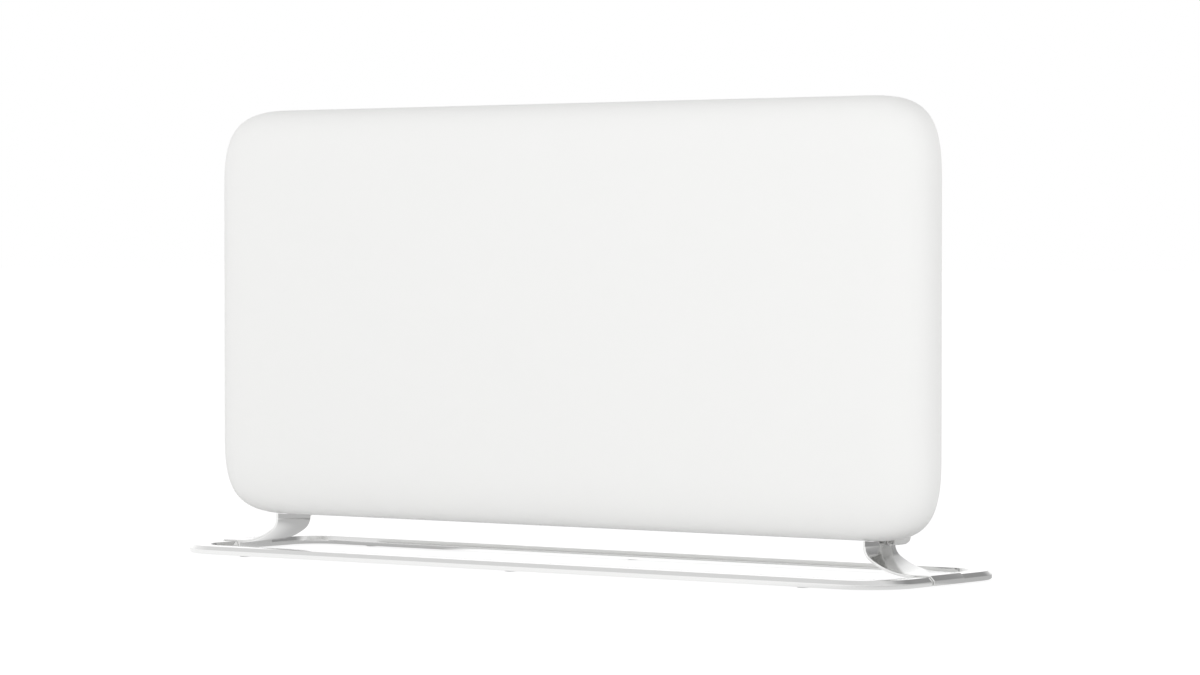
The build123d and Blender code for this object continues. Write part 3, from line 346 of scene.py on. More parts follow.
def painted_floor_shade(tree):
    """Painted shade and a painted light strip on the floor, as gloss sees it, in grey levels."""
    parts = add(tree, "SeparateXYZ", (add(tree, "TexCoord"), "Object"))

    def graded(axis, span, stops):
        """Levels over a span of one axis."""
        low, high = span
        return levels(tree, add(tree, "MapRange", (parts, axis), low, high), stops)

    # Painted shadow of the heater behind it, and painted shade deepening to the right
    shade = add(tree, "VectorMath", graded("Y", PAINTED_SHADOW_Y, PAINTED_SHADOW_STOPS),
                graded("X", PAINTED_SIDE_SHADE_X, PAINTED_SIDE_SHADE_STOPS), operation="MINIMUM")
    # Painted light strip before the back bar
    painted_gleam = add(tree, "VectorMath", graded("Y", GLEAM_Y, GLEAM_STOPS),
                graded("X", GLEAM_X, GLEAM_X_STOPS), operation="MULTIPLY")
    return add(tree, "VectorMath", shade, painted_gleam, operation="MAXIMUM")


def make_floor():
    """Pale floor: white to the camera, with the object's faint shadow, a diffuse bounce, and
    painted shade and a painted light strip as gloss sees it.
    """
    corners = [(sx * FLOOR_REACH, sy * FLOOR_REACH, -FLOOR_DROP)
               for sx, sy in ((-1, -1), (1, -1), (1, 1), (-1, 1))]
    mesh = bpy.data.meshes.new("studio_floor")
    mesh.from_pydata(corners, [], [(0, 1, 2, 3)])
    floor = bpy.data.objects.new("studio_floor", mesh)
    bpy.context.scene.collection.objects.link(floor)
    material = bpy.data.materials.new("pale_floor")
    tree = node_tree(material)
    path, seen = seen_directly(tree)
    glow = add(tree, "Emission", (1, 1, 1, 1), FLOOR_GLOW)
    tone = add(tree, "BsdfDiffuse", (FLOOR_TONE, FLOOR_TONE, FLOOR_TONE, 1))
    # Camera rays see the even white floor; gloss rays see an emission with painted shade and a
    # painted light strip
    shown = add(tree, "MixShader", (path, "Is Camera Ray"),
                add(tree, "Emission", painted_floor_shade(tree), 1.0), add(tree, "AddShader", glow, tone))
    bounce = add(tree, "BsdfDiffuse", (FLOOR_BOUNCE, FLOOR_BOUNCE, FLOOR_BOUNCE, 1))
    add(tree, "OutputMaterial", add(tree, "MixShader", seen, bounce, shown))
    floor.data.materials.append(material)


# ---------------------------------------------------------------- shared effects
def effect_group(name, inputs, outputs):
    """New shader node group with float, colour or vector sockets, and its two ends."""
    group = bpy.data.node_groups.new(name, "ShaderNodeTree")
    kinds = {"f": "NodeSocketFloat", "c": "NodeSocketColor", "v": "NodeSocketVector"}
    for label, kind, value in inputs:
        socket = group.interface.new_socket(label, in_out="INPUT", socket_type=kinds[kind])
        socket.default_value = value
    for label, kind in outputs:
        group.interface.new_socket(label, in_out="OUTPUT", socket_type=kinds[kind])
    return group, group.nodes.new("NodeGroupInput"), group.nodes.new("NodeGroupOutput")


def grain_group():
    """Fine random relief: the mean of two noises, one several times finer, as a height."""
    group, start, end = effect_group(
        "fine_grain", [("Scale", "f", 900.0), ("Fineness", "f", 4.0)], [("Height", "f")])
    place = (add(group, "TexCoord"), "Object")
    coarse = add(group, "TexNoise", Vector=place, Scale=(start, "Scale"), Detail=2.0,
                 Roughness=0.5)
    finer = add(group, "Math", (start, "Scale"), (start, "Fineness"), operation="MULTIPLY")
    fine = add(group, "TexNoise", Vector=place, Scale=finer, Detail=1.0, Roughness=0.5)
    both = add(group, "Math", coarse, fine, operation="ADD")
    feed(group, add(group, "Math", both, 0.5, operation="MULTIPLY"), end.inputs["Height"])
    return group


def tone_group():
    """Slow change of tone and gloss over a surface, as handling and the works leave it."""
    group, start, end = effect_group(
        "uneven_tone",
        [("Color", "c", (0.8, 0.8, 0.8, 1)), ("Spread", "f", 0.02), ("Scale", "f", 6.0),
         ("Roughness", "f", 0.5), ("Rough Spread", "f", 0.05)],
        [("Color", "c"), ("Roughness", "f")])
    noise = add(group, "TexNoise", Vector=(add(group, "TexCoord"), "Object"),
                Scale=(start, "Scale"), Detail=4.0, Roughness=0.55)
    centred = add(group, "Math", noise, 0.5, operation="SUBTRACT")
    share = add(group, "Math", centred, (start, "Spread"), 1.0, operation="MULTIPLY_ADD")
    tinted = add(group, "VectorMath", (start, "Color"), operation="SCALE", Scale=share)
    rough = add(group, "Math", centred, (start, "Rough Spread"), (start, "Roughness"),
                operation="MULTIPLY_ADD")
    feed(group, tinted, end.inputs["Color"])
    feed(group, rough, end.inputs["Roughness"])
    return group


def brushed_group():
    """Long fine lines: noise stretched along one axis by the Stretch vector, as a height."""
    group, start, end = effect_group(
        "brushed_lines", [("Stretch", "v", (20.0, 900.0, 900.0))], [("Height", "f")])
    stretched = add(group, "VectorMath", (add(group, "TexCoord"), "Object"), (start, "Stretch"),
                    operation="MULTIPLY")
    noise = add(group, "TexNoise", Vector=stretched, Scale=1.0, Detail=3.0, Roughness=0.6)
    feed(group, noise, end.inputs["Height"])
    return group


# ---------------------------------------------------------------- materials
# rough: roughness. spread: how far the tone wanders. tone_scale and grain: scale per metre.
# relief: depth of the grain or of the brushed lines, in millimetres. lines: scale along X, Y, Z.
FINISHES = {
    "panel_paint": dict(rough=0.52, spread=0.006, relief=0.012, grain=420.0),
    "casing_paint": dict(rough=0.5, spread=0.01, relief=0.02, grain=520.0),
    "stand_metal": dict(rough=0.13, spread=0.015, relief=0.002, grain=300.0, metallic=1.0,
                        tone_scale=9.0),
    "pad_rubber": dict(rough=0.75, spread=0.1, relief=0.02, grain=1500.0),
    "socket_plastic": dict(rough=0.48, spread=0.02, relief=0.02, grain=1600.0),
    "screw_steel": dict(rough=0.32, spread=0.06, relief=0.006, grain=900.0, metallic=1.0,
                        tone_scale=120.0),
    "grille_plastic": dict(rough=0.5, spread=0.02, relief=0.02, grain=1500.0),
    "duct_steel": dict(rough=0.36, spread=0.08, relief=0.01, grain=200.0, metallic=1.0,
                       tone_scale=60.0),
    "element_aluminium": dict(rough=0.34, spread=0.04, relief=0.01, metallic=1.0,
                              lines=(12.0, 1400.0, 1400.0)),
    "contact_brass": dict(rough=0.28, spread=0.05, relief=0.004, grain=900.0, metallic=1.0,
                          tone_scale=90.0),
    "bush_ceramic": dict(rough=0.62, spread=0.04, relief=0.02, grain=1400.0),
    "fascia_plastic": dict(rough=0.46, spread=0.015, relief=0.02, grain=1700.0),
    "window_plastic": dict(rough=0.07, spread=0.02, relief=0.001, grain=200.0,
                           rough_spread=0.02),
    "button_plastic": dict(rough=0.4, spread=0.02, relief=0.012, grain=1900.0),
    "board_laminate": dict(rough=0.38, spread=0.12, relief=0.01, grain=700.0,
                           tone_scale=140.0),
    "component_black": dict(rough=0.42, spread=0.1, relief=0.01, grain=1300.0),
    "transformer_plastic": dict(rough=0.5, spread=0.12, relief=0.02, lines=(60.0, 60.0, 2600.0)),
    "capacitor_aluminium": dict(rough=0.3, spread=0.04, relief=0.004, grain=400.0),
    "terminal_plastic": dict(rough=0.5, spread=0.03, relief=0.015, grain=1300.0),
    "weight_steel": dict(rough=0.35, spread=0.05, relief=0.006, metallic=1.0,
                         lines=(2400.0, 60.0, 60.0)),
    "switch_plastic": dict(rough=0.46, spread=0.08, relief=0.015, grain=1500.0),
    "rocker_plastic": dict(rough=0.24, spread=0.04, relief=0.004, grain=900.0),
}


def make_finish(slot, rough, spread, relief, grain=None, lines=None, metallic=0.0,
                tone_scale=6.0, rough_spread=0.06):
    """Material from the shared effects, in the colour that the record gives its slot.

    A finish with lines is brushed, and any other has a fine grain.
    """
    material = bpy.data.materials.new(slot)
    tree = node_tree(material)
    tone = add(tree, "Group", node_tree=UNEVEN_TONE, Color=RECORD_COLOUR[slot], Spread=spread,
               Scale=tone_scale, Roughness=rough, Rough_Spread=rough_spread)
    if lines:
        height = add(tree, "Group", node_tree=BRUSHED_LINES, Stretch=lines)
    else:
        height = add(tree, "Group", node_tree=FINE_GRAIN, Scale=grain)
    bump = add(tree, "Bump", Strength=1.0, Distance=relief * MM, Height=height)
    shader = add(tree, "BsdfPrincipled", Base_Color=(tone, "Color"),
                 Roughness=(tone, "Roughness"), Metallic=metallic, Normal=bump)
    add(tree, "OutputMaterial", shader)
    return material


def paint(obj, slot):
    """Give a new piece one of the record's finishes."""
    obj.data.materials.clear()
    obj.data.materials.append(FINISH[slot])


# ---------------------------------------------------------------- mesh helpers
def piece_from(name, points, faces, slot, body="heater", smooth_angle=30.0):
    """Mesh object from arrays, its doubles merged, normals outward and soft edges smooth."""
    mesh = bpy.data.meshes.new(name)
    mesh.from_pydata(points.tolist(), [], faces)
    tidy_mesh(mesh, smooth_angle)
    obj = bpy.data.objects.new(name, mesh)
    bpy.context.scene.collection.objects.link(obj)
    paint(obj, slot)
    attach(obj, body)
    return obj


def tidy_mesh(mesh, smooth_angle):
    """Merge doubles, turn the faces outward and keep edges over an angle sharp."""
    work = bmesh.new()
    work.from_mesh(mesh)
    bmesh.ops.remove_doubles(work, verts=work.verts, dist=MERGE)
    bmesh.ops.recalc_face_normals(work, faces=work.faces)
    work.to_mesh(mesh)
    work.free()
    smooth(mesh, smooth_angle)


def smooth(mesh, angle):
    """Smooth shading, with the edges over an angle in degrees left sharp."""
    mesh.shade_smooth()
    mesh.set_sharp_from_angle(angle=radians(angle))


def ring_faces(rows, columns, closed_rows=False):
    """Quads of a grid whose columns close on themselves, and its rows too if asked."""
    i = np.arange(rows if closed_rows else rows - 1)[:, None]
    j = np.arange(columns)[None, :]
    a = i * columns + j
    b = i * columns + (j + 1) % columns
    c = ((i + 1) % rows) * columns + (j + 1) % columns
    d = ((i + 1) % rows) * columns + j
    return np.stack([a, b, c, d], axis=-1).reshape(-1, 4).tolist()


def capped_faces(rows, columns):
    """Quads of a grid whose columns close on themselves, and a flat face over each end."""
    first = list(range(columns))
    last = [(rows - 1) * columns + k for k in first]
    return ring_faces(rows, columns) + [first[::-1], last]


def arc(centre, radius, start, end, count):
    """Points on an arc between two angles in degrees, as an array of pairs."""
    angle = np.radians(np.linspace(start, end, count))[:, None]
    return np.array(centre) + radius * np.hstack([np.cos(angle), np.sin(angle)])


def turned(profile, count):
    """Surface of revolution: rows of (radius, height), closed round, as local points."""
    angle = np.linspace(0, 2 * pi, count, endpoint=False)
    radius, height = np.array(profile, dtype=float).T
    return np.stack([np.outer(radius, np.cos(angle)), np.outer(radius, np.sin(angle)),
                     np.repeat(height[:, None], count, axis=1)], axis=-1).reshape(-1, 3)


def set_on(points, centre, axis, side):
    """Local points put at a centre, their height along an axis; side -1 looks the other way."""
    along = np.eye(3)["XYZ".index(axis)] * side
    across = np.eye(3)[("XYZ".index(axis) + 1) % 3]
    return np.array(centre) + points @ np.array([across, np.cross(along, across), along])


def gathered(sets):
    """One array of points and one list of faces from several."""
    points, faces, start = [], [], 0
    for more_points, more_faces in sets:
        points.append(more_points)
        faces += [[start + k for k in face] for face in more_faces]
        start += len(more_points)
    return np.vstack(points), faces


def cut_out(piece, outline, x0, x1):
    """Take a prism out of a piece's mesh for good: an outline (Y, Z) carried from x0 to x1."""
    points = np.vstack([np.insert(np.array(outline), 0, x, axis=1) for x in (x0, x1)])
    mesh = bpy.data.meshes.new("cutter")
    mesh.from_pydata(points.tolist(), [], capped_faces(2, len(outline)))
    tidy_mesh(mesh, 30.0)
    tool = bpy.data.objects.new("cutter", mesh)
    bpy.context.scene.collection.objects.link(tool)
    cut = piece.modifiers.new("cut", "BOOLEAN")
    cut.operation = "DIFFERENCE"
    cut.object = tool
    cut.solver = "EXACT"
    bpy.context.view_layer.update()
    result = bpy.data.meshes.new_from_object(
        piece.evaluated_get(bpy.context.evaluated_depsgraph_get()))
    piece.modifiers.remove(cut)
    piece.data = result
    bpy.data.objects.remove(tool, do_unlink=True)


def loose_parts(node):
    """Lowest and highest corner of each separate solid in a CAD node.

    Each corner starts with a label of its own and takes the lowest label at the far ends of its
    edges, until none changes. The corners of a solid then share one label.
    """
    mesh = frame["nodes"][node].data
    spots = np.empty(3 * len(mesh.vertices))
    mesh.vertices.foreach_get("co", spots)
    spots, corner = np.unique(spots.reshape(-1, 3), axis=0, return_inverse=True)
    ends = np.empty(2 * len(mesh.edges), dtype=int)
    mesh.edges.foreach_get("vertices", ends)
    first, second = corner.reshape(-1)[ends].reshape(-1, 2).T
    label, before = np.arange(len(spots)), None
    while before is None or (label != before).any():
        before = label.copy()
        np.minimum.at(label, first, before[second])
        np.minimum.at(label, second, before[first])
    parts = [spots[label == one] for one in np.unique(label)]
    return [(part.min(axis=0), part.max(axis=0)) for part in parts]


# ---------------------------------------------------------------- front panel
def panel_outline(inset, box):
    """Closed outline (X, Z) of the panel drawn in by an inset.

    Each corner is a cubic Bezier: its ends lie the corner's reach from the sharp corner, and its
    handles part of the way to it. The sides between are straight.
    """
    low, high = box
    half_x, half_z = (high.x - low.x) / 2 - inset, (high.z - low.z) / 2 - inset
    reach = CORNER_REACH - inset
    handle = reach * (1 - CORNER_PULL)
    t = np.linspace(0, 1, CORNER_POINTS)[:, None]
    weights = np.hstack([(1 - t) ** 3, 3 * t * (1 - t) ** 2, 3 * t ** 2 * (1 - t), t ** 3])
    from_corner = weights @ np.array([(0, reach), (0, handle), (handle, 0), (reach, 0)])
    corners = []
    for sx, sz in ((1, 1), (-1, 1), (-1, -1), (1, -1)):
        corner = np.array([sx * half_x, sz * half_z]) - np.array([sx, sz]) * from_corner
        corners.append(corner[::sx * sz])
    runs = []
    for corner, following in zip(corners, corners[1:] + corners[:1]):
        start, end = corner[-1], following[0]
        along = np.linspace(0, 1, SIDE_POINTS)[1:-1, None]
        runs += [corner, start + (end - start) * along]
    return np.vstack(runs) + (0, (high.z + low.z) / 2)


def soft_edge(sheet, box, steps):
    """Rows of points over the soft edge, from the wall (step 0) to the front (step 1).

    The section is a cubic Bezier. Its share of the way inward is 3 t^2 (1 - t) (1 - pull) + t^3,
    and its share of the way forward 3 t (1 - t)^2 pull + 3 t^2 (1 - t) + t^3.
    """
    outer = panel_outline(sheet, box)
    inner = panel_outline(EDGE_INSET, box)
    front_y = box[0].y + sheet
    rim_y = box[0].y + EDGE_DEPTH
    rows = []
    for t in steps:
        inward = 3 * t ** 2 * (1 - t) * (1 - EDGE_PULL) + t ** 3
        forward = 3 * t * (1 - t) ** 2 * EDGE_PULL + 3 * t ** 2 * (1 - t) + t ** 3
        flat = (1 - inward) * outer + inward * inner
        rows.append(np.insert(flat, 1, rim_y + (front_y - rim_y) * forward, axis=1))
    return rows


def make_panel():
    """Pressed shell: front, soft edge, short straight wall with a round hem, and the inside."""
    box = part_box("front_panel")
    hem = PANEL_SHEET / 2
    steps = np.linspace(1, 0, EDGE_ROWS)
    rows = soft_edge(0.0, box, steps)
    for angle in np.radians(np.linspace(-90, 90, HEM_ROWS)):
        flat = panel_outline(hem + hem * sin(angle), box)
        rows.append(np.insert(flat, 1, box[1].y - hem + hem * cos(angle), axis=1))
    rows += soft_edge(PANEL_SHEET, box, steps[::-1])
    panel = piece_from("panel_shell", np.vstack(rows), capped_faces(len(rows), len(rows[0])),
                       "panel_paint", smooth_angle=40.0)
    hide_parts("front_panel")


# ---------------------------------------------------------------- stand
def bar_plan(inset, box):
    """Rounded rectangle (X, Y) of the ring seen from above, drawn in by an inset."""
    high = box[1]
    centre_x, centre_y = high.x - RING_CORNER, high.y - RING_CORNER
    return np.vstack([
        arc((sx * centre_x, sy * centre_y), RING_CORNER - inset, start, start + 90, CORNER_POINTS)
        for sx, sy, start in ((1, 1, 0), (-1, 1, 90), (-1, -1, 180), (1, -1, 270))])


def soft_chamfer(corner, chamfer, soft, side):
    """Upper corner of a section, cut flat and turned softly at both ends, from left to right.

    The flat's normal rises by atan(across / down). Each end is an arc that turns the outline by
    an angle, and its tangent point lies soft x tan(angle / 2) before the bend. Side is 1 for a
    right-hand corner and -1 for a left-hand one.
    """
    across, down = chamfer
    rise = atan2(across, down)
    top_x, wall_y = -across - soft * tan(pi / 4 - rise / 2), -down - soft * tan(rise / 2)
    top = arc((top_x, -soft), soft, 90, degrees(rise), CHAMFER_POINTS)
    wall = arc((-soft, wall_y), soft, degrees(rise), 0, CHAMFER_POINTS)
    return np.array(corner) + np.vstack([top, wall])[::side] * (side, 1)


def bar_section(low_z, high_z):
    """Section of the bar: inset from the ring's outside, and height.

    Its upper edges are chamfered and its lower edges rounded.
    """
    b = BAR_BOTTOM_ROUND
    return np.vstack([
        soft_chamfer((0, high_z), BAR_OUTER_CHAMFER, BAR_SOFT, -1),
        soft_chamfer((BAR_WIDTH, high_z), BAR_INNER_CHAMFER, BAR_SOFT, 1),
        arc((BAR_WIDTH - b, low_z + b), b, 0, -90, BOTTOM_POINTS),
        arc((b, low_z + b), b, 270, 180, BOTTOM_POINTS),
    ])


def make_ring():
    """Bar's section carried round the ring's plan."""
    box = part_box("floor_ring")
    rows = [np.insert(bar_plan(inset, box), 2, z, axis=1)
            for inset, z in bar_section(box[0].z, box[1].z)]
    faces = ring_faces(len(rows), len(rows[0]), closed_rows=True)
    ring = piece_from("ring_bar", np.vstack(rows), faces, "stand_metal")
    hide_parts("floor_ring")


def make_pads():
    """Rubber pads: soft rim, and shallow rings underneath that rise and fall as a cosine."""
    sets = []
    for low, high in loose_parts("floor_pads"):
        radius = (high[0] - low[0]) / 2
        height = high[2] - low[2]
        share = np.linspace(*PAD_UNDERSIDE, PAD_POINTS)
        rise = PAD_GROOVE * (0.5 - 0.5 * np.cos(2 * pi * share / PAD_GROOVE_PITCH))
        rise *= share < PAD_GROOVE_PITCH * PAD_GROOVES
        profile = np.vstack([
            np.stack([radius * share, rise], axis=1),
            arc((radius - PAD_EDGE, PAD_EDGE), PAD_EDGE, 270, 360, ROUND_POINTS),
            [(radius, height), (radius * share[0], height)],
        ])
        centre = ((low[0] + high[0]) / 2, (low[1] + high[1]) / 2, low[2])
        sets.append((turned(profile, PAD_SIDES) + centre, capped_faces(len(profile), PAD_SIDES)))
    points, faces = gathered(sets)
    pads = piece_from("rubber_pads", points, faces, "pad_rubber", smooth_angle=50.0)
    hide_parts("floor_pads")


def foot_outline():
    """Closed outline (X, Z) of the right foot: upright strip, two tangent bends, and the saddle."""
    low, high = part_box("foot_right")
    ring_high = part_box("floor_ring")[1]
    inner_x = ring_high.x - BAR_WIDTH - SADDLE_GAP - SADDLE_WALL
    face_x = low.x + STRIP_SHEET
    roof = ring_high.z + SADDLE_ROOF
    turn = np.degrees(np.arccos((inner_x - face_x - UPPER_BEND) / (LOWER_BEND - UPPER_BEND)))
    start_z = roof + LOWER_BEND * (1 - sin(radians(turn))) + UPPER_BEND * sin(radians(turn))
    upper = (face_x + UPPER_BEND, start_z)
    lower = (inner_x, roof + LOWER_BEND)
    upper_face = [
        arc(upper, UPPER_BEND, 180, 180 + turn, UPPER_POINTS),
        arc(lower, LOWER_BEND, 180 + turn, 270, LOWER_POINTS)[1:],
    ]
    lower_face = [
        arc(lower, LOWER_BEND + STRIP_SHEET, 270, 180 + turn, LOWER_POINTS),
        arc(upper, UPPER_BEND + STRIP_SHEET, 180 + turn, 180, UPPER_POINTS)[1:],
    ]
    hollow_x0, hollow_x1 = ring_high.x - BAR_WIDTH - SADDLE_GAP, ring_high.x + SADDLE_GAP
    outer_across, outer_down = BAR_OUTER_CHAMFER
    inner_across, inner_down = BAR_INNER_CHAMFER
    saddle = [
        soft_chamfer((high.x, roof), SADDLE_CHAMFER, SADDLE_SOFT, 1),
        [(high.x, low.z), (hollow_x1, low.z), (hollow_x1, ring_high.z - outer_down),
         (hollow_x1 - outer_across, ring_high.z), (hollow_x0 + inner_across, ring_high.z),
         (hollow_x0, ring_high.z - inner_down), (hollow_x0, low.z), (inner_x, low.z)],
    ]
    top = [(low.x, high.z), (face_x, high.z)]
    return np.vstack([top, *upper_face, *saddle, *lower_face])


def drawn_in(outline, inset):
    """Closed outline moved inward by an inset.

    Each point moves along the mean of the normals of its two sides, further where the outline
    turns, so that both sides move by the inset.
    """
    ahead = np.roll(outline, -1, axis=0) - outline
    ahead /= np.linalg.norm(ahead, axis=1)[:, None]
    behind = np.roll(ahead, 1, axis=0)
    normal = np.stack([(ahead + behind)[:, 1], -(ahead + behind)[:, 0]], axis=1)
    normal /= np.linalg.norm(normal, axis=1)[:, None]
    share = np.sum(normal * np.stack([ahead[:, 1], -ahead[:, 0]], axis=1), axis=1)[:, None]
    return outline + inset * normal / np.maximum(share, 0.5)


def make_foot(node, side):
    """Foot's outline carried along Y, its two ends rounded over a quarter circle."""
    low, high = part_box(node)
    outline = foot_outline()
    rows = [(drawn_in(outline, STRIP_EDGE * (1 - sin(angle))),
             low.y + STRIP_EDGE * (1 - cos(angle))) for angle in np.linspace(0, pi / 2, END_ROWS)]
    rows += [(flat, high.y + low.y - y) for flat, y in reversed(rows)]
    points = np.vstack([np.insert(flat * (side, 1), 1, y, axis=1) for flat, y in rows])
    foot = piece_from(node.replace("foot", "strip_foot"), points,
                      capped_faces(len(rows), len(outline)), "stand_metal", smooth_angle=35.0)
    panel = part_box("front_panel")
    shoulder_z, tongue_y = panel[0].z - SHOULDER_GAP, panel[1].y + TONGUE_GAP
    front, over = low.y - CUT_PAST, high.z + CUT_PAST
    lip_z = shoulder_z + SHOULDER_LIP
    corner = [(front, over), (front, lip_z), (low.y, lip_z), (low.y + LIP_LENGTH, shoulder_z),
              (tongue_y, shoulder_z), (tongue_y, over)]
    cut_out(foot, corner, side * (outline[0][0] - CUT_PAST), side * (outline[1][0] + CUT_PAST))
    smooth(foot.data, 35.0)
    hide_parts(node)


# ---------------------------------------------------------------- finished copies of CAD pieces
def finished(node, edge):
    """Copy of a CAD piece with its flat faces joined and its sharp edges softened by a bevel."""
    mesh = frame["nodes"][node].data.copy()
    work = bmesh.new()
    work.from_mesh(mesh)
    bmesh.ops.remove_doubles(work, verts=work.verts, dist=CAD_MERGE)
    bmesh.ops.dissolve_limit(work, angle_limit=radians(FLAT_ANGLE), verts=work.verts,
                             edges=work.edges)
    work.to_mesh(mesh)
    work.free()
    smooth(mesh, 30.0)
    obj = bpy.data.objects.new(node + "_finished", mesh)
    bpy.context.scene.collection.objects.link(obj)
    bevel = obj.modifiers.new("soft_edges", "BEVEL")
    bevel.width = edge
    bevel.segments = BEVEL_ROWS
    bevel.limit_method = "ANGLE"
    bevel.angle_limit = radians(BEVEL_ANGLE)
    bevel.use_clamp_overlap = True
    bevel.harden_normals = True
    paint(obj, SLOT_OF[node])
    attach(obj, BODY_OF[node])
    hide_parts(node)


# ---------------------------------------------------------------- screws
def smooth_step(value):
    """0 below 0, 1 above 1, and 3 v^2 - 2 v^3 between."""
    value = np.clip(value, 0, 1)
    return value * value * (3 - 2 * value)


def screw_surface(shank, length, head, height):
    """Pan-head screw: shank with a coarse thread, flat under the head, and a domed top.

    The thread's radius swings with height and angle. The dome falls with the fourth power of
    the radius, and a cross-shaped pocket is sunk in it, its walls eased by a smooth step.
    """
    pitch = THREAD_PITCH * shank
    turns = max(int(length / pitch), THREAD_TURNS)
    level = np.linspace(POINT_LENGTH * shank - length, 0, THREAD_ROWS * turns + 1)
    share = np.linspace(*DOME_RADII, DOME_POINTS)
    profile = np.vstack([
        np.array(SCREW_POINT) * shank - (0, length),
        np.stack([np.full_like(level, shank), level], axis=1),
        np.array(SCREW_HEAD) * (head, height),
        np.stack([head * share, height * (1 - DOME_FALL * share ** 4)], axis=1),
    ])
    points = turned(profile, SCREW_SIDES)
    x, y, z = points.T
    threaded = (z < THREAD_TOP * shank) & (np.hypot(x, y) > THREAD_CORE * shank)
    swing = (z / pitch - np.arctan2(y, x) / (2 * pi)) % 1.0
    points[:, :2] *= (1 - THREAD_DEPTH * threaded * np.abs(2 * swing - 1))[:, None]
    near, far = np.sort(np.abs(points[:, :2]), axis=1).T / head
    pocket = (smooth_step((POCKET_HALF - near) / POCKET_EASE[0])
              * smooth_step((POCKET_REACH - far) / POCKET_EASE[1]))
    points[:, 2] -= POCKET_DEPTH * height * pocket * (z > height / 2)
    return points, capped_faces(len(profile), SCREW_SIDES)


def make_screws(node, axis, side, turn_at):
    """Screws of one node, each in place of its solid; side is where the heads point.

    Screws further along the axis than turn_at point the other way.
    """
    k = "XYZ".index(axis)
    sets = []
    for low, high in loose_parts(node):
        centre, size = (low + high) / 2, high - low
        way = side if centre[k] < turn_at else -side
        head = np.delete(size, k)[0] / 2
        shank, height = SCREW_SIZES[min(SCREW_SIZES, key=lambda known: abs(known - head))]
        centre[k] = (high[k] if way > 0 else low[k]) - way * height
        points, faces = screw_surface(shank, size[k] - height, head, height)
        sets.append((set_on(points, centre, axis, way), faces))
    points, faces = gathered(sets)
    screws = piece_from(node + "_turned", points, faces, SLOT_OF[node], smooth_angle=50.0)
    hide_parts(node)


# ---------------------------------------------------------------- controls
def round_piece(name, node, profile, centre, axis, count):
    """Turned piece in place of a node; its profile runs from the axis out and back, or closes."""
    points = set_on(turned(profile, count), centre, axis, 1)
    faces = ring_faces(len(profile), count, closed_rows=profile[0][0] > 0)
    piece = piece_from(name, points, faces, SLOT_OF[node], body=BODY_OF[node], smooth_angle=40.0)
    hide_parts(node)


def button_sizes(node):
    """Middle of a button's cap, level with its rim, and the radii of its cap and its collar."""
    low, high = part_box(node)
    collar = (high.x - low.x) / 2
    return ((low.x + high.x) / 2, (low.y + high.y) / 2, high.z), collar - COLLAR_PROUD, collar


def dish_height(radius, cap):
    """Height of a cap's hollow at a radius: a parabola, deepest on the axis."""
    return -DISH * (1 - (radius / (DISH_REACH * cap)) ** 2)


def make_button(node):
    """Button: dished cap with a soft rim, collar and stem, turned about its own axis."""
    low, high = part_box(node)
    top, cap, collar = button_sizes(node)
    depth = low.z - high.z
    radius = cap * np.linspace(0, DISH_REACH, DISH_POINTS)
    profile = np.vstack([
        np.stack([radius, dish_height(radius, cap)], axis=1),
        arc((cap - BUTTON_EDGE, -BUTTON_EDGE), BUTTON_EDGE, 90, 0, ROUND_POINTS),
        [(cap, COLLAR_TOP), (collar, COLLAR_TOP), (collar, COLLAR_LOW),
         (BUTTON_STEM, COLLAR_LOW), (BUTTON_STEM, depth), (0, depth)],
    ])
    round_piece(node + "_cap", node, profile, top, "Z", BUTTON_SIDES)


def plate_shape(flat):
    """Closed outline with a sign's thickness."""
    points = np.vstack([np.insert(np.array(flat), 2, level, axis=1)
                        for level in (0.0, SIGN_THICKNESS)])
    return points, capped_faces(2, len(flat))


def bar_shape(x, y, half_x, half_y):
    """Upright or level stroke about a point."""
    return plate_shape([(x - half_x, y - half_y), (x + half_x, y - half_y),
                        (x + half_x, y + half_y), (x - half_x, y + half_y)])


def band_shape(radius, width, start, end):
    """Part of a ring between two angles."""
    outer = arc((0, 0), radius + width / 2, start, end, BAND_POINTS)
    inner = arc((0, 0), radius - width / 2, end, start, BAND_POINTS)
    return plate_shape(np.vstack([outer, inner]))


def ring_shape(radius, width):
    """Whole ring, its square section turned about the middle."""
    low, high = radius - width / 2, radius + width / 2
    section = [(low, 0), (high, 0), (high, SIGN_THICKNESS), (low, SIGN_THICKNESS)]
    return turned(section, SIGN_SIDES), ring_faces(4, SIGN_SIDES, closed_rows=True)


def make_button_signs():
    """Plain signs printed in the caps: standby, less, more, and three bars for the mode."""
    level_bar = bar_shape(0, 0, SIGN_STROKE, SIGN_LINE)
    arm_y, arm_half = PLUS_ARM
    bar_y, bar_half = STANDBY_BAR
    signs = {
        "power": [band_shape(SIGN_STROKE, 2 * SIGN_LINE, *STANDBY_OPEN),
                  bar_shape(0, bar_y, SIGN_LINE, bar_half)],
        "minus": [level_bar],
        "plus": [level_bar, bar_shape(0, arm_y, SIGN_LINE, arm_half),
                 bar_shape(0, -arm_y, SIGN_LINE, arm_half)],
        "mode": [bar_shape(0, k * MODE_PITCH, MODE_STROKE, SIGN_LINE) for k in (-1, 0, 1)],
    }
    for name, shapes in signs.items():
        node = "button_" + name
        top, cap, _ = button_sizes(node)
        points, faces = gathered(shapes)
        points[:, 2] += dish_height(np.hypot(points[:, 0], points[:, 1]), cap) - SIGN_SINK
        piece_from("mark_" + name, points + top, faces, "component_black", body=node)


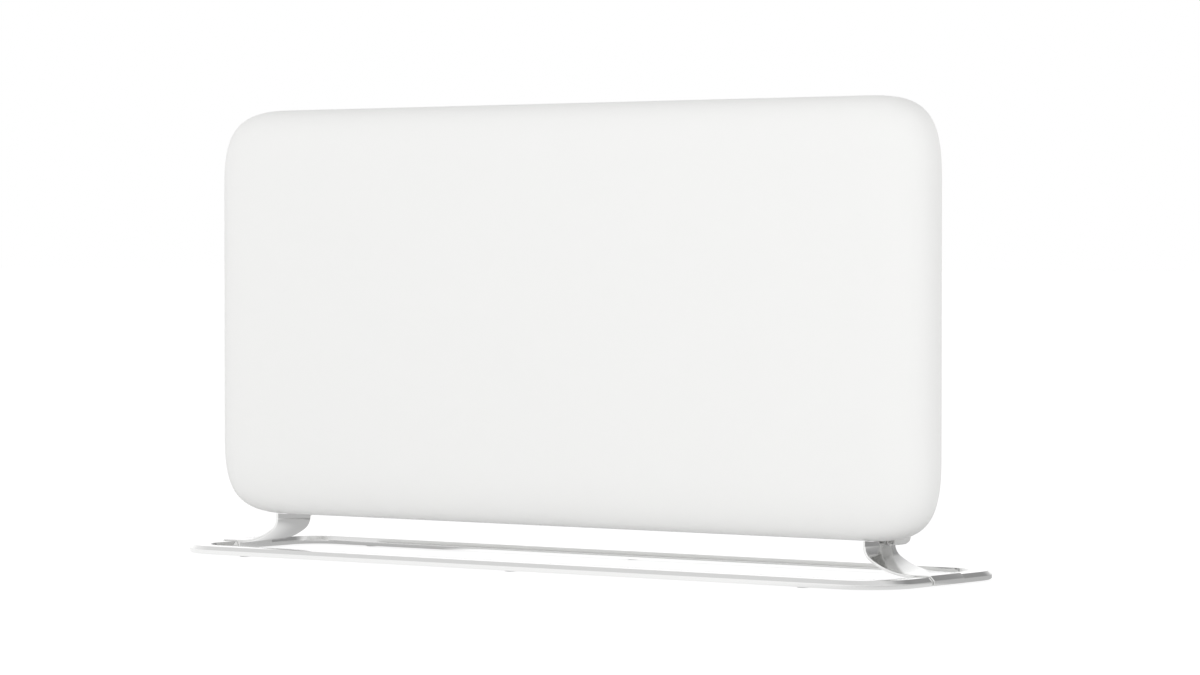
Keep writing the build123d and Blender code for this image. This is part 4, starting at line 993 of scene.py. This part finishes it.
def make_rocker_signs():
    """On and off signs, a bar and a ring, one on each half of the rocker's face.

    A line of sight from behind finds the face, and the sign lies square to its normal there.
    """
    rocker = frame["nodes"]["mains_rocker"]
    low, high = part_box("mains_rocker")
    across = np.array((-1.0, 0.0, 0.0))
    for name, offset, shape in (("on", -ROCKER_SIGN, bar_shape(0, 0, *ON_BAR)),
                                ("off", ROCKER_SIGN, ring_shape(*OFF_RING))):
        start = Vector(((low.x + high.x) / 2, high.y + SIGHT_LENGTH,
                        (low.z + high.z) / 2 + offset))
        _, spot, normal, _ = rocker.ray_cast(start, Vector((0, -1, 0)))
        out = np.array(normal)
        points, faces = shape
        points = np.array(spot) + points @ np.array([across, np.cross(out, across), out])
        piece_from("mark_" + name, points, faces, "panel_paint", body="mains_rocker")


# ---------------------------------------------------------------- cord inlet
def make_gland():
    """Cord inlet: neck, flange with a soft edge, and a nose with soft grooves, bored through."""
    low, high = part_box("cord_gland")
    centre = ((low.x + high.x) / 2, high.y, (low.z + high.z) / 2)
    flange_low = -NOSE_LENGTH - FLANGE_THICKNESS
    end = low.y - high.y
    depth = np.linspace(*GROOVE_SPAN, GROOVE_POINTS)
    turn = np.linspace(0, 2 * pi * GROOVES, GROOVE_POINTS)
    profile = np.vstack([
        arc((GLAND_BORE + MOUTH_ROUND, -MOUTH_ROUND), MOUTH_ROUND, 180, 90, ROUND_POINTS),
        [(GLAND_NOSE - NOSE_EDGE, 0.0)],
        np.stack([GLAND_NOSE - GROOVE_DEPTH * (0.5 - 0.5 * np.cos(turn)), -depth], axis=1),
        [(GLAND_NOSE, -NOSE_LENGTH)],
        arc((GLAND_FLANGE - FLANGE_EDGE, -NOSE_LENGTH - FLANGE_EDGE), FLANGE_EDGE, 90, 0,
            CHAMFER_POINTS),
        [(GLAND_FLANGE, flange_low), (GLAND_NECK, flange_low), (GLAND_NECK, end + NECK_EDGE),
         (GLAND_NECK - NECK_EDGE, end), (GLAND_BORE, end)],
    ])
    round_piece("gland_body", "cord_gland", profile, centre, "Y", GLAND_SIDES)


# ---------------------------------------------------------------- make everything
SLOT_OF = {part["node"]: part["material_slot"] for part in frame["record"]["subparts"]}
RECORD_COLOUR = {made["slot"]: (*made["base_color"][:3], 1.0)
                 for made in frame["record"]["materials"]}
BODY_OF = {node: body for body, nodes in frame["record"]["behaviour"]["bodies"].items()
           for node in nodes}

make_camera()
make_world()
make_floor()
for lamp_name, (lamp_place, lamp_watts) in LAMPS.items():
    make_lamp(lamp_name, lamp_place, lamp_watts)

FINE_GRAIN = grain_group()
UNEVEN_TONE = tone_group()
BRUSHED_LINES = brushed_group()
FINISH = {slot: make_finish(slot, **values) for slot, values in FINISHES.items()}
for node_name, node_object in frame["nodes"].items():
    node_object.data.materials.clear()
    node_object.data.materials.append(FINISH[SLOT_OF[node_name]])

make_panel()
make_ring()
make_foot("foot_right", 1)
make_foot("foot_left", -1)
make_pads()
for node_name, (screw_axis, screw_side, screw_turn) in SCREWS.items():
    make_screws(node_name, screw_axis, screw_side, screw_turn)
make_gland()
for button_name in ("power", "minus", "plus", "mode"):
    make_button("button_" + button_name)
make_button_signs()
make_rocker_signs()
for node_name, edge_mm in SOFT_EDGES.items():
    finished(node_name, edge_mm * MM)

bpy.context.scene.view_settings.view_transform = "Standard"
